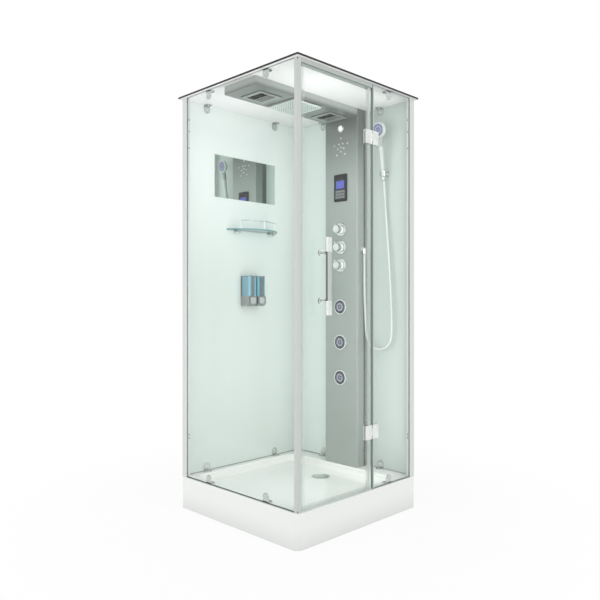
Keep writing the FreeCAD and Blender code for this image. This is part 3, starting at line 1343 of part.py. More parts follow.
def soap_dispensers():
    """Wall plate with two lower bodies, two translucent tanks with spines, and a push lever in each body."""
    front = glass_in - g.soap_deep
    back = glass_in - g.soap_back
    waist = g.soap_low + g.soap_body
    high = waist + g.soap_tall
    total = g.soap_wide * 2 + g.soap_gap
    mount = [box("soap_plate", (-g.soap_left, total - g.soap_left), (back, glass_in), (g.soap_low, high))]
    lever_low = g.soap_low + g.lever_foot
    lever_high = waist - g.lever_head
    recess_back = front - g.lever_proud + g.lever_thick + g.lever_travel + 1
    tanks = []
    for label, left in soap_places():
        right = left + g.soap_wide
        body = new_body(f"soap_body_{label}")
        slope = g.soap_chamfer
        section = [(back, g.soap_low), (front + slope, g.soap_low), (front, g.soap_low + slope),
                   (front, waist), (back, waist)]
        pad(body, outline(new_sketch(body, "YZ_Plane", "side", left), section), g.soap_wide)
        middle = left + g.soap_wide / 2
        half = g.lever_wide / 2
        room = g.running
        recess = box(f"lever_room_{label}", (middle - half - room, middle + half + room),
                     (front - 1, recess_back), (lever_low - room, lever_high + room))
        lever = new_body(f"lever_{label}")
        flat = new_sketch(lever, "XZ_Plane", "face", g.lever_proud - front)
        rounded(flat, (middle - half, middle + half), (lever_low, lever_high), g.lever_corner)
        pad(lever, flat, g.lever_thick, backwards=True)
        keep(f"{label}_dispenser_lever", lever)
        tank = new_body(f"soap_tank_{label}")
        plan = new_sketch(tank, "XY_Plane", "plan", waist)
        rounded(plan, (left + 1, right - 1), (back - g.soap_tank, back), g.soap_tank_corner)
        pad(tank, plan, g.soap_tall)
        tanks.append(tank)
        spine = g.soap_spine / 2
        spine_back = back - g.soap_tank
        spine_box = box(f"soap_spine_{label}", (middle - spine, middle + spine),
                        (spine_back - g.soap_spine_thick, spine_back), (waist - 1, high))
        mount.append(cut(f"soap_housing_{label}", fuse(f"soap_solid_{label}", body, spine_box), recess))
    keep("dispenser_mount", group("dispenser_mount", mount))
    keep("dispenser_reservoirs", group("dispenser_reservoirs", tanks))


# ---------------------------------------------------------------- build, check and write

def build():
    shower_tray()
    drain_cover()
    drain_trap()
    tray_frame()
    levelling_feet()
    profiles()
    glass_walls()
    rim_seals()
    roof()
    header_rail()
    glass_brackets()
    hinges()
    door()
    door_handle()
    column_panel()
    column_base()
    column_lamp()
    shoulder_nozzles()
    control_panel()
    knob_rosettes()
    knobs()
    mixer_valves()
    water_pipes()
    jets()
    steam_generator()
    hose_outlet()
    shower_hose()
    handset()
    handset_holder()
    overhead_housing()
    vent_grilles()
    rain_head()
    exhaust_fan()
    mirror()
    shelf()
    soap_dispensers()


def check():
    """Stops when any object failed to compute or any sub-part has no sound shape."""
    doc.recompute()
    failed = [item.Name for item in doc.Objects if "Invalid" in item.State or "Error" in item.State]
    if failed:
        raise ValueError(f"failed objects: {failed}")
    for name, item in parts.items():
        shape = item.Shape
        if shape.isNull() or not shape.isValid() or not shape.Solids:
            raise ValueError(f"unsound sub-part: {name}")


def write():
    os.makedirs("parts", exist_ok=True)
    for name, item in parts.items():
        item.Shape.exportStep(f"parts/{name}.step")
        print(f"{name}: {len(item.Shape.Solids)} solid(s), {item.Shape.Volume / 1000:.1f} cm3")


build()
check()
write()
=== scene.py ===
"""Steam shower cabin, dressed: finishes for its panes, sheet metal and fittings, and its small details."""
import math

import bmesh
import bpy
from mathutils import Matrix, Vector


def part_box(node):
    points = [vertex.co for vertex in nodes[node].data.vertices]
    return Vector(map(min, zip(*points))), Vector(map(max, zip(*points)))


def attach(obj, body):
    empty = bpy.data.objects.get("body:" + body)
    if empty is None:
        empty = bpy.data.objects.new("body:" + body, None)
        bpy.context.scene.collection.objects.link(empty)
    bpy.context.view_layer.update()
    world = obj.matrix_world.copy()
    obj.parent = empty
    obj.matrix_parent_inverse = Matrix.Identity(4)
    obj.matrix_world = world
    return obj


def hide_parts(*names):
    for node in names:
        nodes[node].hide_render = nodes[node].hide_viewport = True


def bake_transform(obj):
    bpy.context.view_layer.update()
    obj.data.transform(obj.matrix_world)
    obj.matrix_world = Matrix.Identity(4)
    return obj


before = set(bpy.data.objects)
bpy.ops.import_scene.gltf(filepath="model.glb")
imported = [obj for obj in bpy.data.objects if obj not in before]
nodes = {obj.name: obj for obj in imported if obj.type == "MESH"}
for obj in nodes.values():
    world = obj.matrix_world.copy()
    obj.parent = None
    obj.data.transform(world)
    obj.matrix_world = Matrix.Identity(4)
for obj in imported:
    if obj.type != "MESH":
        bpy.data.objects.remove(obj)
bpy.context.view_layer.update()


def tone(red, green, blue):
    """A colour as it looks on a screen, 0 to 255, as the shares of light that a shader takes."""
    shares = []
    for level in (red, green, blue):
        share = level / 255
        shares.append(((share + 0.055) / 1.055) ** 2.4 if level > 10 else share / 12.92)
    return (*shares, 1)


def scaled(colour, share):
    """A colour made darker or lighter."""
    return (*(min(1.0, level * share) for level in colour[:3]), 1)


def middle_of(node):
    """The middle of a piece's box."""
    low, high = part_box(node)
    return (low + high) / 2


# ---------------------------------------------------------------- camera

EYE = (-2.44872, -2.47328, 1.11095)
HEADING = -0.789085
FOCAL_LENGTH = 38.773
SENSOR_WIDTH = 36
SIDE_SHIFT = -0.0066
FAR_END = 100

camera = bpy.data.objects.new("camera", bpy.data.cameras.new("camera"))
bpy.context.scene.collection.objects.link(camera)
bpy.context.scene.camera = camera
camera.location = EYE
camera.rotation_euler = (math.pi / 2, 0, HEADING)
camera.data.sensor_width = SENSOR_WIDTH
camera.data.lens = FOCAL_LENGTH
camera.data.shift_x = SIDE_SHIFT
camera.data.clip_end = FAR_END


# ---------------------------------------------------------------- places on the cabin, in metres

CORNER = 0.443
RIM = 0.165
FRONT_FACE = -0.44
UPPER_HINGE, LOWER_HINGE = 1.922, 0.453
COLUMN_MIDDLE = -0.003
JET_NAMES = ("upper_jet", "middle_jet", "lower_jet")
JETS = [(0.331, COLUMN_MIDDLE, height) for height in (1.071, 0.868, 0.665)]
JET_REACH = 0.034
HAND_PLATE = (0.3573, -0.262, 2.0449)
HAND_PLATE_REACH = 0.0357
HANDSET_FOOT = Vector((0.406, -0.262, 1.776))
HANDSET_TILT = math.radians(8)
HOSE_RADIUS = 0.0065


# ---------------------------------------------------------------- finishes

# How many features of a noise lie along one metre.
DRIFT = 1.6
WIPE = 11
SMEAR = 28
WAVE = 60
DUST = 120
FLECK = 2600


class Value:
    """A number that runs over a surface; arithmetic on it adds Math nodes."""

    def __init__(self, finish, socket):
        self.finish = finish
        self.socket = socket

    def maths(self, operation, first, second):
        return self.finish.maths(operation, first, second)

    def __add__(self, other):
        return self.maths("ADD", self, other)

    def __radd__(self, other):
        return self.maths("ADD", other, self)

    def __sub__(self, other):
        return self.maths("SUBTRACT", self, other)

    def __rsub__(self, other):
        return self.maths("SUBTRACT", other, self)

    def __mul__(self, other):
        return self.maths("MULTIPLY", self, other)

    def __gt__(self, other):
        return self.maths("GREATER_THAN", self, other)

    def __lt__(self, other):
        return self.maths("LESS_THAN", self, other)

    def __abs__(self):
        return self.maths("ABSOLUTE", self, 0)


class Finish:
    """A material that is built node by node."""

    def __init__(self, name):
        self.material = bpy.data.materials.new(name)
        self.material.use_nodes = True
        self.tree = self.material.node_tree
        self.tree.nodes.clear()
        self.output = self.tree.nodes.new("ShaderNodeOutputMaterial")
        self.place = self.node("ShaderNodeTexCoord", out="Object")

    def node(self, kind, settings=None, sockets=None, out=0):
        """Any node: its settings first, then the values or links of its sockets."""
        item = self.tree.nodes.new(kind)
        for name, setting in (settings or {}).items():
            setattr(item, name, setting)
        for name, given in (sockets or {}).items():
            if isinstance(given, Value):
                self.tree.links.new(given.socket, item.inputs[name])
            else:
                item.inputs[name].default_value = given
        return Value(self, item.outputs[out])

    def mix(self, share, first, second):
        """A colour between two colours."""
        settings = {"data_type": "RGBA"}
        return self.node("ShaderNodeMix", settings, {0: share, 6: first, 7: second}, out=2)

    def layered(self, share, under, over):
        """Two bodies of a finish, the second over the first by a share."""
        return self.node("ShaderNodeMixShader", None, {0: share, 1: under, 2: over})

    def maths(self, operation, first, second=0.0):
        """Any Math node."""
        return self.node("ShaderNodeMath", {"operation": operation}, {0: first, 1: second})

    def smooth(self, number, low, high, start=0.0, end=1.0):
        """Maps a range onto another and stays inside it."""
        settings = {"interpolation_type": "SMOOTHSTEP"}
        sockets = {"Value": number, "From Min": low, "From Max": high, "To Min": start, "To Max": end}
        return self.node("ShaderNodeMapRange", settings, sockets)

    def axis(self, letter, vector=None):
        """One coordinate of a point on the surface."""
        return self.node("ShaderNodeSeparateXYZ", None, {0: vector or self.place}, out=letter)

    def faces(self, letter):
        """1 where the surface faces along an axis of its piece, 0 elsewhere."""
        normal = self.node("ShaderNodeTexCoord", out="Normal")
        return abs(self.axis(letter, normal)) > 0.5

    def slope(self):
        """0 where the surface is seen flat on, 1 where it turns away."""
        return self.node("ShaderNodeLayerWeight", None, {"Blend": 0.5}, out="Facing")

    def distance(self, point):
        """How far the surface is from a point."""
        settings = {"operation": "DISTANCE"}
        return self.node("ShaderNodeVectorMath", settings, {0: self.place, 1: point}, out="Value")

    def stretched(self, x, y, z):
        """The place on the surface with its axes scaled, for brushed and drawn textures."""
        return self.node("ShaderNodeMapping", None, {"Vector": self.place, "Scale": (x, y, z)})

    def cloud(self, scale, detail=3, vector=None):
        """Soft noise from 0 to 1."""
        sockets = {"Vector": vector or self.place, "Scale": scale, "Detail": detail}
        return self.node("ShaderNodeTexNoise", None, sockets, out="Fac")

    def bump(self, height, distance, strength=1.0):
        """A normal that follows fine relief of a given depth."""
        sockets = {"Height": height, "Distance": distance, "Strength": strength}
        return self.node("ShaderNodeBump", None, sockets, out="Normal")

    def shader(self, **sockets):
        """The glossy body of the finish."""
        named = {name.replace("_", " "): given for name, given in sockets.items()}
        return self.node("ShaderNodeBsdfPrincipled", None, named)

    def done(self, shader):
        """Closes the material with the finish's last shader."""
        self.tree.links.new(shader.socket, self.output.inputs["Surface"])
        return self.material


def lacquer(name, colour, second, rough, coat=0.0, grain=900, dent=0.00004, metal=0.0, patch=3.0, shine=0.5):
    """Paint or moulded plastic: slow colour drift, faint orange peel and uneven gloss."""
    finish = Finish(name)
    drift = finish.smooth(finish.cloud(patch), 0.3, 0.7)
    peel = finish.cloud(grain, 2)
    wiped = finish.cloud(WIPE, 4)
    return finish.done(finish.shader(
        Base_Color=finish.mix(drift, colour, second), Metallic=metal,
        Roughness=rough + (wiped - 0.5) * rough * 0.5, Coat_Weight=coat, Coat_Roughness=0.06,
        Specular_IOR_Level=shine, Normal=finish.bump(peel, dent)))


def polished(name, colour, rough=0.06, smudge=0.05, painted_edge_shade=0.0):
    """Polished or plated metal with faint smears; its last argument paints the colour darker where the
    surface turns away from view, a painted reflection of dark surroundings.
    """
    finish = Finish(name)
    smear = finish.cloud(SMEAR, 5)
    plate = finish.mix(finish.smooth(smear, 0.35, 0.75), colour, scaled(colour, 0.86))
    # Painted reflection: darker base colour where the surface turns away from view.
    painted_edge_shade_share = finish.smooth(finish.slope(), 0.35, 0.95, 0.0, painted_edge_shade)
    return finish.done(finish.shader(
        Base_Color=finish.mix(painted_edge_shade_share, plate, tone(70, 76, 74)), Metallic=1.0,
        Roughness=rough + finish.smooth(smear, 0.4, 0.8) * smudge,
        Normal=finish.bump(finish.cloud(WAVE, 2), 0.00003)))


def drawn(name, colour, rough, along, metal=1.0):
    """Extruded or brushed metal with fine lines along one axis."""
    finish = Finish(name)
    lines_across, lines_along = 1400.0, 9.0
    scale = [lines_along if letter == along else lines_across for letter in "XYZ"]
    line = finish.cloud(1, 2, finish.stretched(*scale))
    stain = finish.cloud(7, 3)
    return finish.done(finish.shader(
        Base_Color=finish.mix(line, colour, scaled(colour, 0.82)), Metallic=metal,
        Roughness=rough + (stain - 0.5) * 0.08, Normal=finish.bump(line, 0.00002)))


def clear_pane(name, across, tint, rim=tone(186, 208, 199)):
    """Clear toughened glass: almost unseen flat on, with a sheen and green polished edges."""
    finish = Finish(name)
    slope = finish.slope()
    streak = finish.cloud(2.2, 3, finish.stretched(1, 1, 0.35))
    glass = finish.node("ShaderNodeBsdfTransparent", None, {"Color": tint})
    gloss = finish.shader(Base_Color=(0.95, 0.98, 0.97, 1), Metallic=1.0, Roughness=0.02 + streak * 0.02)
    sheen = 0.012 + slope * slope * slope * slope * 0.8 + streak * 0.012
    edge_green = finish.mix(finish.cloud(30), rim, scaled(rim, 1.2))
    edge = finish.shader(Base_Color=edge_green, Roughness=0.15)
    return finish.done(finish.layered(finish.faces(across), edge, finish.layered(sheen, glass, gloss)))


def painted_pane(finish, across, colour):
    """Back-painted mint glass: colour under a glassy skin, and greener cut edges."""
    edged = finish.mix(finish.faces(across), tone(176, 204, 193), colour)
    return finish.done(finish.shader(
        Base_Color=edged, Roughness=0.12 + finish.cloud(9, 4) * 0.04, Coat_Weight=0.6, Coat_Roughness=0.03,
        Normal=finish.bump(finish.cloud(5, 2), 0.0004, 0.15)))


def rear_pane():
    """Rear wall with painted light: the colour turns almost white towards the roof, most of all at the open
    side where light falls in.
    """
    finish = Finish("mint_pane_rear")
    painted_light_start, painted_light_end = 1.1, 2.05
    left_edge, right_end = -0.43, 0.2
    # Painted light: lighter with height and towards the open side of the cabin.
    painted_light_and_shade_rise = finish.smooth(finish.axis("Z"), painted_light_start, painted_light_end)
    painted_light_open_side = finish.smooth(finish.axis("X"), left_edge, right_end, 1.0, 0.0)
    share = painted_light_and_shade_rise * (painted_light_open_side * 0.45 + 0.45) + finish.cloud(1.3, 2) * 0.1
    return painted_pane(finish, "Y", finish.mix(share, tone(210, 220, 215), tone(238, 245, 243)))


def right_pane():
    """Right wall with painted light and shade: deeper mint beside the door, and darker towards the top
    there; painted pale between the column and the rear corner.
    """
    finish = Finish("mint_pane_right")
    foot, head = 0.2, 2.1
    column_front, column_rear = -0.08, 0.12
    painted_light_and_shade_rise = finish.smooth(finish.axis("Z"), foot, head)
    # Painted shade beside the door, darker towards the top; painted light behind the column.
    painted_shade_near_door = finish.mix(painted_light_and_shade_rise, tone(184, 195, 190), tone(176, 187, 182))
    painted_light_behind_column = finish.smooth(finish.axis("Y"), column_front, column_rear) * (finish.cloud(1.3, 2) * 0.1 + 0.9)
    return painted_pane(finish, "X", finish.mix(painted_light_behind_column, painted_shade_near_door, tone(232, 244, 239)))


def acrylic():
    """Glossy cast acrylic, a touch greyer along the foot: painted shade by the floor."""
    finish = Finish("cast_acrylic")
    foot_shade_start, foot_shade_end = -0.03, 0.11
    film = finish.cloud(16, 5)
    # Painted shade: the colour darkens towards the bottom of the tray.
    foot = finish.smooth(finish.axis("Z"), foot_shade_start, foot_shade_end, 1.0, 0.0) * (0.8 + film * 0.2)
    return finish.done(finish.shader(
        Base_Color=finish.mix(foot, tone(241, 243, 240), tone(223, 226, 223)),
        Roughness=0.14 + film * 0.1, Coat_Weight=0.5, Coat_Roughness=0.05,
        Normal=finish.bump(finish.cloud(240, 2), 0.00006)))


def rubber_strip():
    """Glazing rubber: dark beside the clear pane and on the hinge gasket, pale along the front rim."""
    finish = Finish("glazing_rubber")
    front_strip, strip_top, gasket_tail = -0.425, RIM + 0.007, 0.0885
    dust = finish.cloud(DUST, 4)
    front = finish.smooth(finish.axis("Y"), front_strip, front_strip + 0.005, 1.0, 0.0)
    gasket = finish.axis("Z") > strip_top
    tail = gasket * (finish.axis("X") > gasket_tail)
    dusty = finish.mix(dust, tone(104, 112, 108), tone(134, 142, 138))
    colour = finish.mix(front, dusty, tone(172, 180, 176))
    colour = finish.mix(gasket, colour, tone(120, 133, 126))
    colour = finish.mix(tail, colour, tone(192, 208, 200))
    return finish.done(finish.shader(
        Base_Color=colour, Roughness=0.45 + dust * 0.2, Normal=finish.bump(dust, 0.0001)))


def clear_seal():
    """Clear vinyl door seal, faintly milky; along the hinge side it is whiter and less clear, painted light
    that lifts a strip in the column's shadow.
    """
    finish = Finish("clear_vinyl")
    dust = finish.cloud(DUST, 4)
    colour = finish.mix(dust, tone(236, 243, 240), tone(244, 249, 247))
    strip = finish.shader(Base_Color=colour, Roughness=0.4 + dust * 0.2, Normal=finish.bump(dust, 0.0001))
    through = finish.node("ShaderNodeBsdfTransparent", None, {"Color": (0.99, 0.995, 0.99, 1)})
    painted_light_band_start = 0.045
    # Painted light: a whiter, less clear band along the hinge side of the seal.
    rim_and_painted_light_band = finish.smooth(finish.axis("X"), painted_light_band_start, painted_light_band_start + 0.0025)
    return finish.done(finish.layered(0.1 + dust * 0.08 + rim_and_painted_light_band * 0.16, through, strip))


def column_skin():
    """Metallic grey lacquer of the column, with painted shade: darker towards the roof, under the ceiling
    unit.
    """
    finish = Finish("metallic_grey")
    drift = finish.cloud(DRIFT)
    fleck = finish.cloud(FLECK, 2)
    wiped = finish.cloud(WIPE, 4)
    shade_start, shade_end = 1.72, 2.15
    # Painted shade below the ceiling unit: darker towards the top.
    painted_light_and_shade_rise = finish.smooth(finish.axis("Z"), shade_start, shade_end)
    colour = finish.mix(painted_light_and_shade_rise * 0.85 + drift * 0.15, tone(163, 171, 166), tone(106, 112, 108))
    return finish.done(finish.shader(
        Base_Color=colour, Metallic=0.35 + fleck * 0.1, Roughness=0.3 + (wiped - 0.5) * 0.12,
        Coat_Weight=0.25, Coat_Roughness=0.08, Normal=finish.bump(fleck, 0.00003)))


def roof_skin():
    """White gloss of the roof, with painted shade: a trace greyer over the door side."""
    finish = Finish("roof_gloss")
    # Painted shade towards the door side, with a little random drift.
    shade = finish.smooth(finish.axis("X"), -0.3, 0.3) * 0.9 + finish.cloud(DRIFT) * 0.1
    return finish.done(finish.shader(
        Base_Color=finish.mix(shade, tone(255, 253, 253), tone(230, 231, 230)),
        Roughness=0.3 + finish.cloud(WIPE, 4) * 0.06, Coat_Weight=0.2,
        Normal=finish.bump(finish.cloud(500, 2), 0.00003)))


def grille_skin():
    """Grey grilles of the ceiling unit: dusty satin faces, and dark slots of painted shade."""
    finish = Finish("grille_grey")
    dust = finish.cloud(DUST, 4)
    face = 2.1445
    # Painted shade: the recessed slots above the grille face are dark.
    painted_shade_slot = finish.smooth(finish.axis("Z"), face, face + 0.0015)
    satin = finish.mix(dust, tone(138, 145, 141), tone(128, 135, 131))
    return finish.done(finish.shader(
        Base_Color=finish.mix(painted_shade_slot, satin, tone(48, 54, 51)), Roughness=0.3 + dust * 0.1, Coat_Weight=0.25,
        Normal=finish.bump(dust, 0.00005)))


def ceiling_unit():
    """Metallic grey of the ceiling unit, with painted shade: its underside is darker than its sides."""
    finish = Finish("unit_grey")
    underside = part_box("overhead_housing")[0].z
    drift = finish.cloud(DRIFT)
    fleck = finish.cloud(FLECK, 2)
    # Painted shade: the underside takes the darker colour, the sides the lighter one.
    side = finish.smooth(finish.axis("Z"), underside + 0.0003, underside + 0.024)
    under = finish.mix(drift, tone(118, 125, 121), tone(108, 115, 111))
    return finish.done(finish.shader(
        Base_Color=finish.mix(side, under, tone(166, 173, 169)), Metallic=0.25 + fleck * 0.1,
        Roughness=0.26 + drift * 0.08, Coat_Weight=0.25, Normal=finish.bump(fleck, 0.00003)))


def bar_handle():
    """Door handle: bright blocks at both ends, and a satin grip between them whose outer side faces are
    darkened with painted shade.
    """
    finish = Finish("bar_handle")
    half_grip, post_end = 0.1118, -0.47
    smear = finish.cloud(SMEAR, 5)
    grip = abs(finish.axis("Z") - middle_of("door_handle").z) < half_grip
    # Painted shade: the grip's faces that point along X, on its outer bar, are darker.
    painted_shade_flank = finish.faces("X") * (finish.axis("Y") < post_end)
    bright = finish.mix(smear, tone(236, 240, 238), tone(214, 220, 217))
    satin = finish.mix(smear, tone(198, 203, 199), tone(180, 186, 182))
    colour = finish.mix(grip, bright, finish.mix(painted_shade_flank, satin, tone(96, 102, 98)))
    return finish.done(finish.shader(
        Base_Color=colour, Metallic=0.9, Roughness=0.14 + grip * 0.2 + smear * 0.06,
        Normal=finish.bump(finish.cloud(WAVE, 2), 0.00003)))


def jet_ring():
    """Chrome bezels of the body jets with a dark ring of painted shade round each jet, standing for the
    shadow in its recess.
    """
    finish = Finish("jet_ring")
    pitch = JETS[0][2] - JETS[1][2]
    over = finish.axis("Y") - COLUMN_MIDDLE
    folded = abs(finish.axis("Z") - JETS[1][2])
    above = finish.maths("MINIMUM", folded, abs(folded - pitch))
    away = finish.maths("SQRT", over * over + above * above)
    smear = finish.cloud(SMEAR, 5)
    shade_ring_radius = 0.0372
    # Painted shade: a dark ring round each jet.
    painted_shade_groove = finish.smooth(away, shade_ring_radius, shade_ring_radius + 0.0012, 1.0, 0.0)
    plate = finish.mix(smear, tone(238, 241, 240), tone(216, 221, 219))
    return finish.done(finish.shader(
        Base_Color=finish.mix(painted_shade_groove, plate, tone(62, 66, 70)), Metallic=0.6 - painted_shade_groove * 0.4,
        Roughness=0.08 + smear * 0.08 + painted_shade_groove * 0.3))


def hand_shower_skin():
    """White moulding of the hand shower with a grey neck under its head."""
    finish = Finish("hand_shower_white")
    neck_foot, neck_top = 1.95, 2.006
    height = finish.axis("Z")
    below_head = finish.smooth(height, neck_top - 0.006, neck_top, 1.0, 0.0)
    neck = finish.smooth(height, neck_foot, neck_foot + 0.01) * below_head
    white = finish.mix(finish.cloud(9), tone(182, 189, 185), tone(172, 179, 175))
    return finish.done(finish.shader(
        Base_Color=finish.mix(neck, white, tone(146, 153, 150)), Roughness=0.16 + finish.cloud(30, 4) * 0.06,
        Coat_Weight=0.4, Coat_Roughness=0.05, Normal=finish.bump(finish.cloud(900, 2), 0.00003)))


def spray_face(name, centre, reach, light, dark):
    """Moulded spray plate: dark gel with rings of paler cells round its middle."""
    finish = Finish(name)
    ring_count, spoke_count = 2, 7
    away = finish.distance(centre)
    angle = finish.maths("ARCTAN2", finish.axis("Y") - centre[1], finish.axis("Z") - centre[2])
    spokes = finish.maths("SINE", angle * spoke_count) * 0.5 + 0.5
    bands = finish.maths("SINE", away * (math.tau * ring_count / reach) + 1.2) * 0.5 + 0.5
    speck = finish.cloud(300, 3)
    cells = finish.smooth(bands * 0.8 + spokes * 0.2 + speck * 0.1, 0.45, 0.62)
    rim_and_painted_light_band = finish.smooth(away, reach * 0.93, reach * 0.97)
    return finish.done(finish.shader(
        Base_Color=finish.mix(rim_and_painted_light_band, finish.mix(cells, dark, light), tone(196, 202, 204)),
        Roughness=0.25 + speck * 0.1, Coat_Weight=0.4, Coat_Roughness=0.05,
        Normal=finish.bump(cells, 0.0002)))


def silvered():
    """Mirror glass with a faint haze."""
    finish = Finish("silvered_glass")
    haze = finish.cloud(3, 4)
    colour = finish.mix(haze * 0.3, tone(232, 240, 237), tone(205, 218, 213))
    return finish.done(finish.shader(Base_Color=colour, Metallic=1.0, Roughness=0.015 + haze * 0.02))


def lit_screen():
    """Backlit liquid crystal: blue field with a fine pixel grid, under a dark row of status marks."""
    finish = Finish("lit_screen")
    field_middle, row_start, row_middle = 1.773, 1.7955, 1.8018
    across = finish.axis("Y")
    up = finish.axis("Z")
    upright = finish.smooth(abs(up - field_middle), 0.0, 0.03, 1.0, 0.6)
    level = finish.smooth(abs(across - COLUMN_MIDDLE), 0.0, 0.036, 1.0, 0.75)
    field = finish.mix(upright * level, tone(88, 98, 196), tone(126, 138, 228))
    row = finish.smooth(up, row_start, row_start + 0.001)
    marks = (finish.maths("SINE", across * 700) > 0.35) * (abs(up - row_middle) < 0.0022)
    band = finish.mix(marks, tone(22, 24, 28), tone(96, 102, 110))
    sockets = {"Vector": finish.place, "Scale": 160.0}
    grid = finish.node("ShaderNodeTexWave", {"bands_direction": "Z"}, sockets, out="Fac")
    return finish.done(finish.shader(
        Base_Color=finish.mix(row, tone(40, 46, 110), band), Roughness=0.12 + grid * 0.05,
        Specular_IOR_Level=0.2, Emission_Color=finish.mix(row, field, tone(6, 7, 9)), Emission_Strength=0.5))


def soap():
    """Tinted tanks full of blue soap with painted highlight and shade across each: darker along a line close
    to its middle, lighter towards its sides; under a dark cap line.
    """
    finish = Finish("blue_soap")
    first_middle, pitch, cap_line = -0.006, 0.068, 1.2462
    across = finish.axis("X")
    second = across > 0.024
    # Painted highlight and shade: the colour follows the distance from a line close to each tank's middle.
    painted_highlight_aside = finish.smooth(abs(across - (second * pitch + first_middle)), 0.0, 0.03)
    left = finish.mix(painted_highlight_aside, tone(96, 172, 196), tone(142, 196, 214))
    right = finish.mix(painted_highlight_aside, tone(58, 140, 162), tone(104, 170, 184))
    cap = finish.smooth(finish.axis("Z"), cap_line, cap_line + 0.0008)
    return finish.done(finish.shader(
        Base_Color=finish.mix(cap, finish.mix(second, left, right), tone(84, 118, 122)),
        Roughness=0.08 + finish.cloud(50) * 0.05, Coat_Weight=0.6, Transmission_Weight=0.2))


def paint(finish, *names):
    """Gives one finish to one or more pieces of the CAD model."""
    for name in names:
        data = nodes[name].data
        data.materials.clear()
        data.materials.append(finish)


CLEAR = (0.99, 0.995, 0.993, 1)
# The last argument of polished sets how much painted reflection darkens turned-away edges.
CHROME = polished("bright_chrome", tone(236, 239, 238), painted_edge_shade=0.25)
CHROME_SOFT = polished("satin_chrome", tone(232, 236, 233), 0.32, 0.08)
KNOB_CHROME = polished("knob_chrome", tone(242, 245, 243), 0.1, 0.06, 0.7)
NOZZLE_CHROME = polished("nozzle_chrome", tone(252, 254, 253), 0.4, 0.1)
BRACKET = polished("bracket_chrome", tone(206, 211, 208), 0.08, 0.06, 0.75)
ALUMINIUM = drawn("anodised_profile", tone(208, 213, 209), 0.5, "Z", 0.25)
WALL_PROFILE = drawn("white_profile", tone(226, 230, 227), 0.5, "Z", 0.15)
RAIL_ALUMINIUM = drawn("anodised_rail", tone(198, 203, 199), 0.5, "X", 0.25)
STEEL = drawn("brushed_steel", tone(178, 180, 179), 0.3, "Z")
RAIN_PLATE = polished("rain_plate", tone(246, 250, 248), 0.04, 0.04)
TRIM = lacquer("dark_trim", tone(58, 62, 61), tone(44, 48, 47), 0.4, shine=0.2)
COLUMN_DARK = lacquer("dark_grey", tone(96, 102, 99), tone(84, 90, 87), 0.4, 0.1)
BLACK = lacquer("black_moulding", tone(26, 28, 27), tone(18, 20, 19), 0.4, shine=0.15)
KEYPAD = lacquer("keypad_film", tone(84, 88, 89), tone(74, 78, 79), 0.5, shine=0.2)
LEVER = lacquer("lever_gloss", tone(178, 184, 183), tone(166, 172, 171), 0.25, 0.2)
ZINC = lacquer("zinc_coat", tone(150, 154, 156), tone(120, 124, 126), 0.5, grain=400, dent=0.0001, metal=0.6,
               patch=30)
BRASS = polished("raw_brass", tone(196, 166, 104), 0.25, 0.1)
GREY = lacquer("grey_moulding", tone(120, 124, 125), tone(108, 112, 113), 0.45)

paint(acrylic(), "shower_tray")
paint(clear_pane("side_pane", "X", CLEAR), "side_glass")
paint(clear_pane("fixed_pane", "Y", CLEAR, tone(84, 98, 91)), "front_fixed_glass")
paint(clear_pane("door_pane", "Y", CLEAR), "door_glass")
paint(clear_pane("shelf_pane", "Z", (0.8, 0.9, 0.91, 1), tone(96, 140, 142)), "shelf_glass")
paint(rear_pane(), "rear_wall_glass")
paint(right_pane(), "right_wall_glass")
paint(ALUMINIUM, "corner_post", "rear_corner_profile")
paint(WALL_PROFILE, "wall_profiles")
paint(RAIL_ALUMINIUM, "header_rail")
paint(CHROME, "bracket_screws", "door_handle_roses", "column_lamp", "hose_outlet", "handset_holder",
      "shelf_rail")
paint(RAIN_PLATE, "rain_head")
paint(KNOB_CHROME, "knob_rosettes", "upper_knob", "middle_knob", "lower_knob")
paint(NOZZLE_CHROME, "shoulder_nozzles")
paint(BRACKET, "glass_brackets")
paint(CHROME_SOFT, "hinge_door_leaves", "hinge_fixed_leaves", "drain_cover", "shelf_brackets")
paint(jet_ring(), "jet_bezels")
paint(bar_handle(), "door_handle")
paint(STEEL, "water_pipes", "steam_generator", "dispenser_mount")
paint(ceiling_unit(), "overhead_housing")
paint(grille_skin(), "vent_grilles")
paint(roof_skin(), "roof_panel")
paint(TRIM, "roof_edge_trim")
paint(column_skin(), "column_panel")
paint(COLUMN_DARK, "column_base")
paint(BLACK, "control_panel", "fan_frame", "fan_rotor")
paint(KEYPAD, "panel_keypad")
paint(hand_shower_skin(), "handset")
paint(LEVER, "left_dispenser_lever", "right_dispenser_lever")
paint(ZINC, "tray_frame", "levelling_feet")
paint(BRASS, "mixer_valves")
paint(GREY, "drain_trap")
paint(rubber_strip(), "rim_seals")
paint(clear_seal(), "door_seals")
paint(silvered(), "mirror")
paint(lit_screen(), "panel_display")
paint(soap(), "dispenser_reservoirs")
for label, place in zip(JET_NAMES, JETS):
    paint(spray_face(f"{label}_face", place, JET_REACH, tone(172, 174, 188), tone(74, 76, 90)), label)
paint(spray_face("hand_plate", HAND_PLATE, HAND_PLATE_REACH, tone(150, 152, 186), tone(84, 86, 116)),
      "handset_face")


# ---------------------------------------------------------------- makers

def piece(name, mesh, finish, body="cabin", smooth=True):
    """Adds a finished mesh to the model on one of its bodies."""
    data = bpy.data.meshes.new(name)
    mesh.to_mesh(data)
    mesh.free()
    data.materials.append(finish)
    for face in data.polygons:
        face.use_smooth = smooth
    item = bpy.data.objects.new(name, data)
    bpy.context.scene.collection.objects.link(item)
    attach(item, body)


